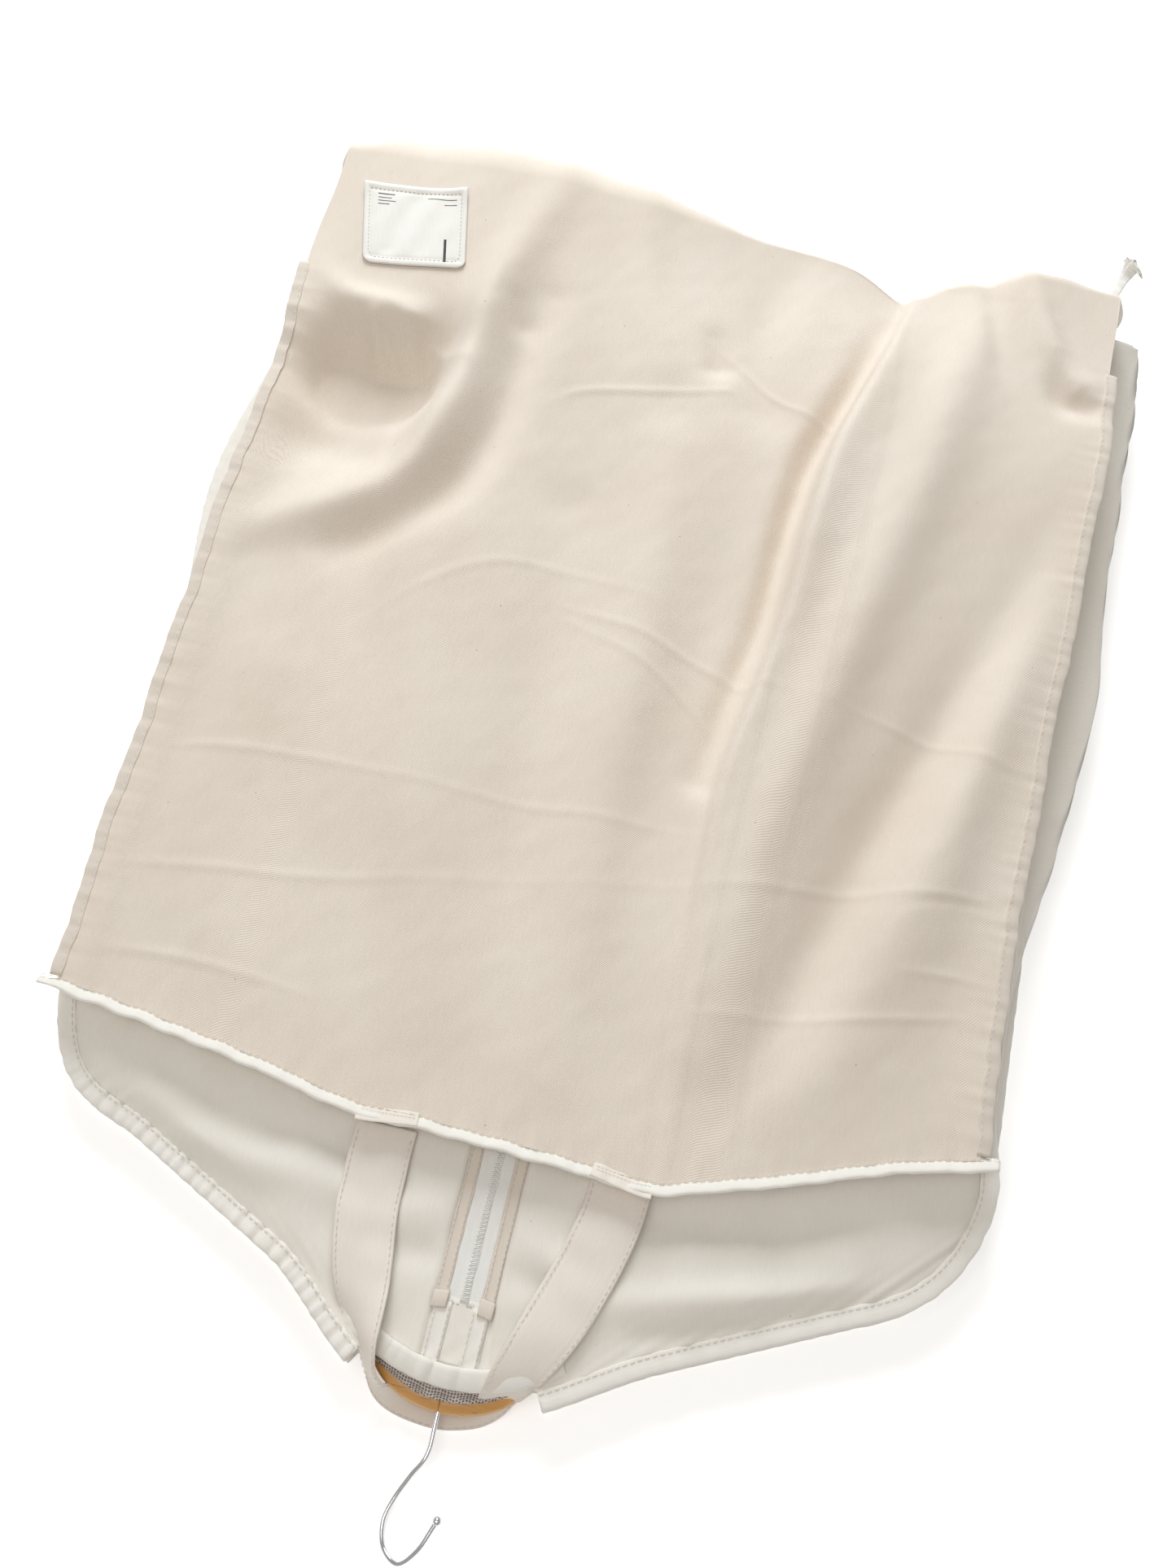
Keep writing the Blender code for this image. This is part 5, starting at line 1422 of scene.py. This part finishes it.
STRAP_ROUTE = [
    # sideways, along, height, width, lean outwards in degrees
    (-0.0720, 0.690, 0.0296, 0.038, 0), (-0.0715, 0.715, 0.0303, 0.038, 0), (-0.0700, 0.742, 0.0300, 0.038, 0),
    (-0.0640, 0.772, 0.0296, 0.036, 4), (-0.0565, 0.798, 0.0288, 0.030, 30), (-0.0495, 0.817, 0.0255, 0.024, 58),
    (-0.0440, 0.829, 0.0170, 0.019, 62), (-0.0355, 0.8360, 0.0070, 0.018, 36), (-0.0195, 0.8405, 0.0026, 0.017, 4),
    (-0.0005, 0.8420, 0.0020, 0.016, 0), (0.0165, 0.8375, 0.0032, 0.018, 6), (0.0285, 0.8305, 0.0105, 0.021, 32),
    (0.0345, 0.8220, 0.0205, 0.026, 30), (0.0425, 0.8060, 0.0280, 0.031, 12), (0.0550, 0.778, 0.0305, 0.037, 2),
    (0.0665, 0.745, 0.0306, 0.038, 0), (0.0740, 0.715, 0.0306, 0.038, 0), (0.0765, 0.690, 0.0300, 0.038, 0),
]


def strap_frames(count):
    """The strap's middle line with its width, and the directions across and out of its face."""
    line = curve(STRAP_ROUTE, count)
    route = rows_of(line[:, 0], line[:, 1], line[:, 2])
    lean = np.radians(line[:, 4])
    out = np.stack([line[:, 0], -(line[:, 1] - 0.800), 0 * lean], -1)
    out /= np.linalg.norm(out, axis=1, keepdims=True)
    up = np.cos(lean)[:, None] * np.array([0, 0, 1.0]) + np.sin(lean)[:, None] * out
    _, across, up = frames(route, up)
    return route, across, up, line[:, 3]


def build_strap():
    """The carrying strap: a flat band carried along its route, with two sewn edges and slight ripples."""
    count, cols = 300, 25
    route, across, up, width = strap_frames(count)
    u = np.linspace(-0.5, 0.5, cols)
    run = np.cumsum(np.linalg.norm(np.gradient(route, axis=0), axis=1))
    crown = (0.0007 * np.cos(np.pi * u) - 0.0004 * bump_at(np.abs(u), 0.43, 0.03))[None, :]
    wave = 0.0004 * ripple(run, 141, 0.03, 0.07)[:, None]
    wave = wave + 0.0003 * swell(run[:, None], 0.038 * u[None, :], 142, 0.02, 0.05)
    grid = (route[:, None] + across[:, None] * (u[None, :] * width[:, None])[..., None]
            + up[:, None] * (crown + wave)[..., None])
    grid[..., 2] = np.maximum(grid[..., 2], 0.0018)
    weave = np.stack(np.broadcast_arrays(0.038 * u[None, :], run[:, None], 0 * run[:, None]), -1)
    if normals_of(grid)[count // 2, cols // 2, 2] < 0:
        grid, weave = grid[:, ::-1], weave[:, ::-1]
    piece = shell("carry_strap", grid, 0.0014, STRAP_CLOTH, "handle", ["handle_strap"], weave)
    for side, word in ((-1, "inner"), (1, "outer")):
        edge = route + across * (side * 0.44 * width)[:, None] + up * 0.00055
        edge[:, 2] = np.maximum(edge[:, 2], 0.0021)
        stitches(f"strap_stitches_{word}", edge[4:-4], up[4:-4], STRAP_STITCH, THREAD, "handle")


def build_strap_covers():
    """The turned-under cloth and bar stitching where the strap's ends meet the hem."""
    for side, word, centre in ((-1, "left", -0.0715), (1, "right", 0.0762)):
        x = np.linspace(centre - 0.0190, centre + 0.0190, 40)
        s = hem_edge(x) + 0.0042
        tilt = 0.0022 * (x - centre) / 0.02 * side
        z = back_height(x, s - 0.005) + 0.0008
        route = rows_of(x, s - 0.002 + tilt, z)
        _, across, up = frames(route, same((0, 0.35, 1.0), len(x)))
        wave = ripple(x, 151 + side, 0.006, 0.014) * 0.3
        rings = ribbon_rings(route, across, up, 0.0110, 0.0014, wave=wave)
        tube(f"strap_cover_{word}", rings, STRAP_CLOTH, "flap", [f"handle_anchor_{word}"])
        seam = rows_of(x[2:-2], s[2:-2] - 0.0048, z[2:-2] + 0.0017)
        stitches(f"strap_bar_{word}", seam, up[2:-2], BAR_STITCH, THREAD, "flap", gap=0.2)


def wood_top(x):
    """Upper edge of the hanger: the neck's hump, then the arm along the shoulder."""
    half = 0.048
    arm = UPPER_LENGTH - 0.010 - (np.abs(x) - NECK_HALF) * math.tan(SHOULDER_SLOPE)
    base = UPPER_LENGTH - 0.010 - (half - NECK_HALF) * math.tan(SHOULDER_SLOPE)
    hump = base + (WOOD_PEAK - base) * np.sqrt(np.maximum(1 - (x / half) ** 2, 0))
    return np.where(np.abs(x) < half, hump, arm)


def build_hanger():
    """The two wooden halves: a rounded section carried from the middle seam out along each arm."""
    sides = 28
    a = 2 * np.pi * np.arange(sides) / sides
    c = np.sign(np.cos(a)) * np.abs(np.cos(a)) ** 0.62
    h = np.sign(np.sin(a)) * np.abs(np.sin(a)) ** 0.62
    for side, word in SIDES:
        share = np.linspace(0, 1, 120)
        x = 0.00012 + 0.2095 * share**1.4
        top = wood_top(x) - shoulder_pull(side * x)
        low = np.minimum(top - 0.030 - 0.010 * (1 - share) ** 3, UPPER_LENGTH - 0.012)
        end = np.sqrt(np.clip((1 - share) / 0.03, 0, 1))
        middle, half = (top + low) / 2, (top - low) / 2 * (0.35 + 0.65 * end)
        thick = (0.0075 - 0.0012 * share) * (0.5 + 0.5 * end)
        bevel = 1 - 0.035 * np.exp(-(x / 0.0005) ** 2)
        rings = rows_of(side * x[:, None] + 0 * c, middle[:, None] + (half * bevel)[:, None] * c,
                        STEM_Z + (thick * bevel)[:, None] * h)
        tube(f"hanger_wood_{word}", rings, WOOD, "upper_half", [f"hanger_{word}"])


WIRE_RADIUS = 0.0015
BALL_RADIUS = 0.0027
# Places on the hook's wire: sideways, and along from the top of the wood
HOOK_BENDS = [(0.0, -0.052), (0.0, 0.000), (0.0, 0.022), (-0.0080, 0.036), (-0.0153, 0.050), (-0.0187, 0.063),
              (-0.0140, 0.0755), (-0.0020, 0.0810), (0.0090, 0.0715), (0.0165, 0.0560)]


def build_hook():
    """The chrome hook: a round wire along a smooth bend, in a plane leaning to the floor, and its ball."""
    lean = math.asin((STEM_Z - 0.0018) / 0.0188)
    flat = curve(HOOK_BENDS, 260)
    route = rows_of(flat[:, 0] * math.cos(lean), WOOD_PEAK + flat[:, 1], STEM_Z + flat[:, 0] * math.sin(lean))
    side_way = np.array([math.sin(lean), 0, -math.cos(lean)])
    _, across, up = frames(route, same(side_way, len(route)))
    a = 2 * np.pi * np.arange(18) / 18
    circle = across[:, None] * np.cos(a)[:, None] + up[:, None] * np.sin(a)[:, None]
    rings = route[:, None] + WIRE_RADIUS * circle
    tube("hook_steel", rings, CHROME, "hook", ["hook_wire"])
    way = route[-1] - route[-2]
    tip = route[-1] + way / np.linalg.norm(way) * 0.0022
    lat = np.linspace(-np.pi / 2, np.pi / 2, 20)[1:-1, None]
    ball = np.stack([np.cos(lat) * np.cos(a), np.cos(lat) * np.sin(a), np.sin(lat) + 0 * a], -1) * BALL_RADIUS
    tube("hook_bead", tip + ball, CHROME, "hook", ["hook_ball"])


# ---------------------------------------------------------------- camera, light and floor

def turn_to(thing, right, up, back, place):
    """Put a camera or lamp at a place, looking away from back."""
    pose = np.eye(4)
    pose[:3, 0], pose[:3, 1], pose[:3, 2], pose[:3, 3] = right, up, back, place
    thing.matrix_world = Matrix(pose.tolist())
    bpy.context.scene.collection.objects.link(thing)


def set_stage():
    """The camera over the hook's end, a pale floor and soft light from beyond the fold."""
    azimuth, height, roll = math.radians(12.507), math.radians(68.071), math.radians(0.747)
    back = np.array([math.sin(azimuth) * math.cos(height), -math.cos(azimuth) * math.cos(height),
                     math.sin(height)])
    right = np.cross([0, 0, 1.0], back)
    right /= np.linalg.norm(right)
    up = np.cross(back, right)
    turned = math.cos(roll) * right + math.sin(roll) * up
    upright = -math.sin(roll) * right + math.cos(roll) * up
    lens = bpy.data.cameras.new("camera")
    lens.sensor_width = 36
    lens.lens = 33.63
    camera = bpy.data.objects.new("camera", lens)
    turn_to(camera, turned, upright, back, (0.0763, -0.3630, 0.9450))
    bpy.context.scene.camera = camera

    bpy.ops.mesh.primitive_plane_add(size=8, location=(0, 0, -0.0002))
    floor = bpy.context.object
    floor.name = "floor"
    paint, _, surface = new_finish("studio floor")
    surface.inputs["Base Color"].default_value = (0.93, 0.93, 0.93, 1)
    surface.inputs["Roughness"].default_value = 0.9
    surface.inputs["Specular IOR Level"].default_value = 0.1
    surface.inputs["Emission Color"].default_value = (1, 1, 1, 1)
    surface.inputs["Emission Strength"].default_value = 0.36
    floor.data.materials.append(paint)

    world = bpy.data.worlds.new("studio")
    world.use_nodes = True
    sky = world.node_tree.nodes["Background"]
    sky.inputs["Color"].default_value = (1.0, 0.985, 0.965, 1)
    sky.inputs["Strength"].default_value = 0.41
    bpy.context.scene.world = world

    for name, place, size, power, tint in (
            ("window", (-0.50, 2.1, 1.30), 1.2, 51, (0.90, 0.96, 1.0)),
            ("overhead", (-0.35, -0.60, 1.8), 1.3, 10.5, (1.0, 0.955, 0.90))):
        light = bpy.data.lights.new(name, "AREA")
        light.size = size
        light.energy = power
        light.color = tint
        lamp = bpy.data.objects.new(name, light)
        way = np.array([0.0, 0.05, 0.03]) - np.array(place)
        z = -way / np.linalg.norm(way)
        x = np.cross(UP, z)
        x /= np.linalg.norm(x)
        turn_to(lamp, x, np.cross(z, x), z, place)
    bpy.context.scene.view_settings.view_transform = "Standard"
    bpy.context.scene.view_settings.look = "None"


set_stage()
build_back_cloth()
build_flap_bindings()
build_hem()
build_hem_walls()
build_upper_front()
build_upper_back()
build_upper_bindings()
build_upper_walls()
build_shoulder_nets()
build_crease()
build_roll_ends()
build_flap_lining()
build_side_zip()
build_tails()
build_front_zip()
build_neck()
build_label()
build_strap()
build_strap_covers()
build_hanger()
build_hook()
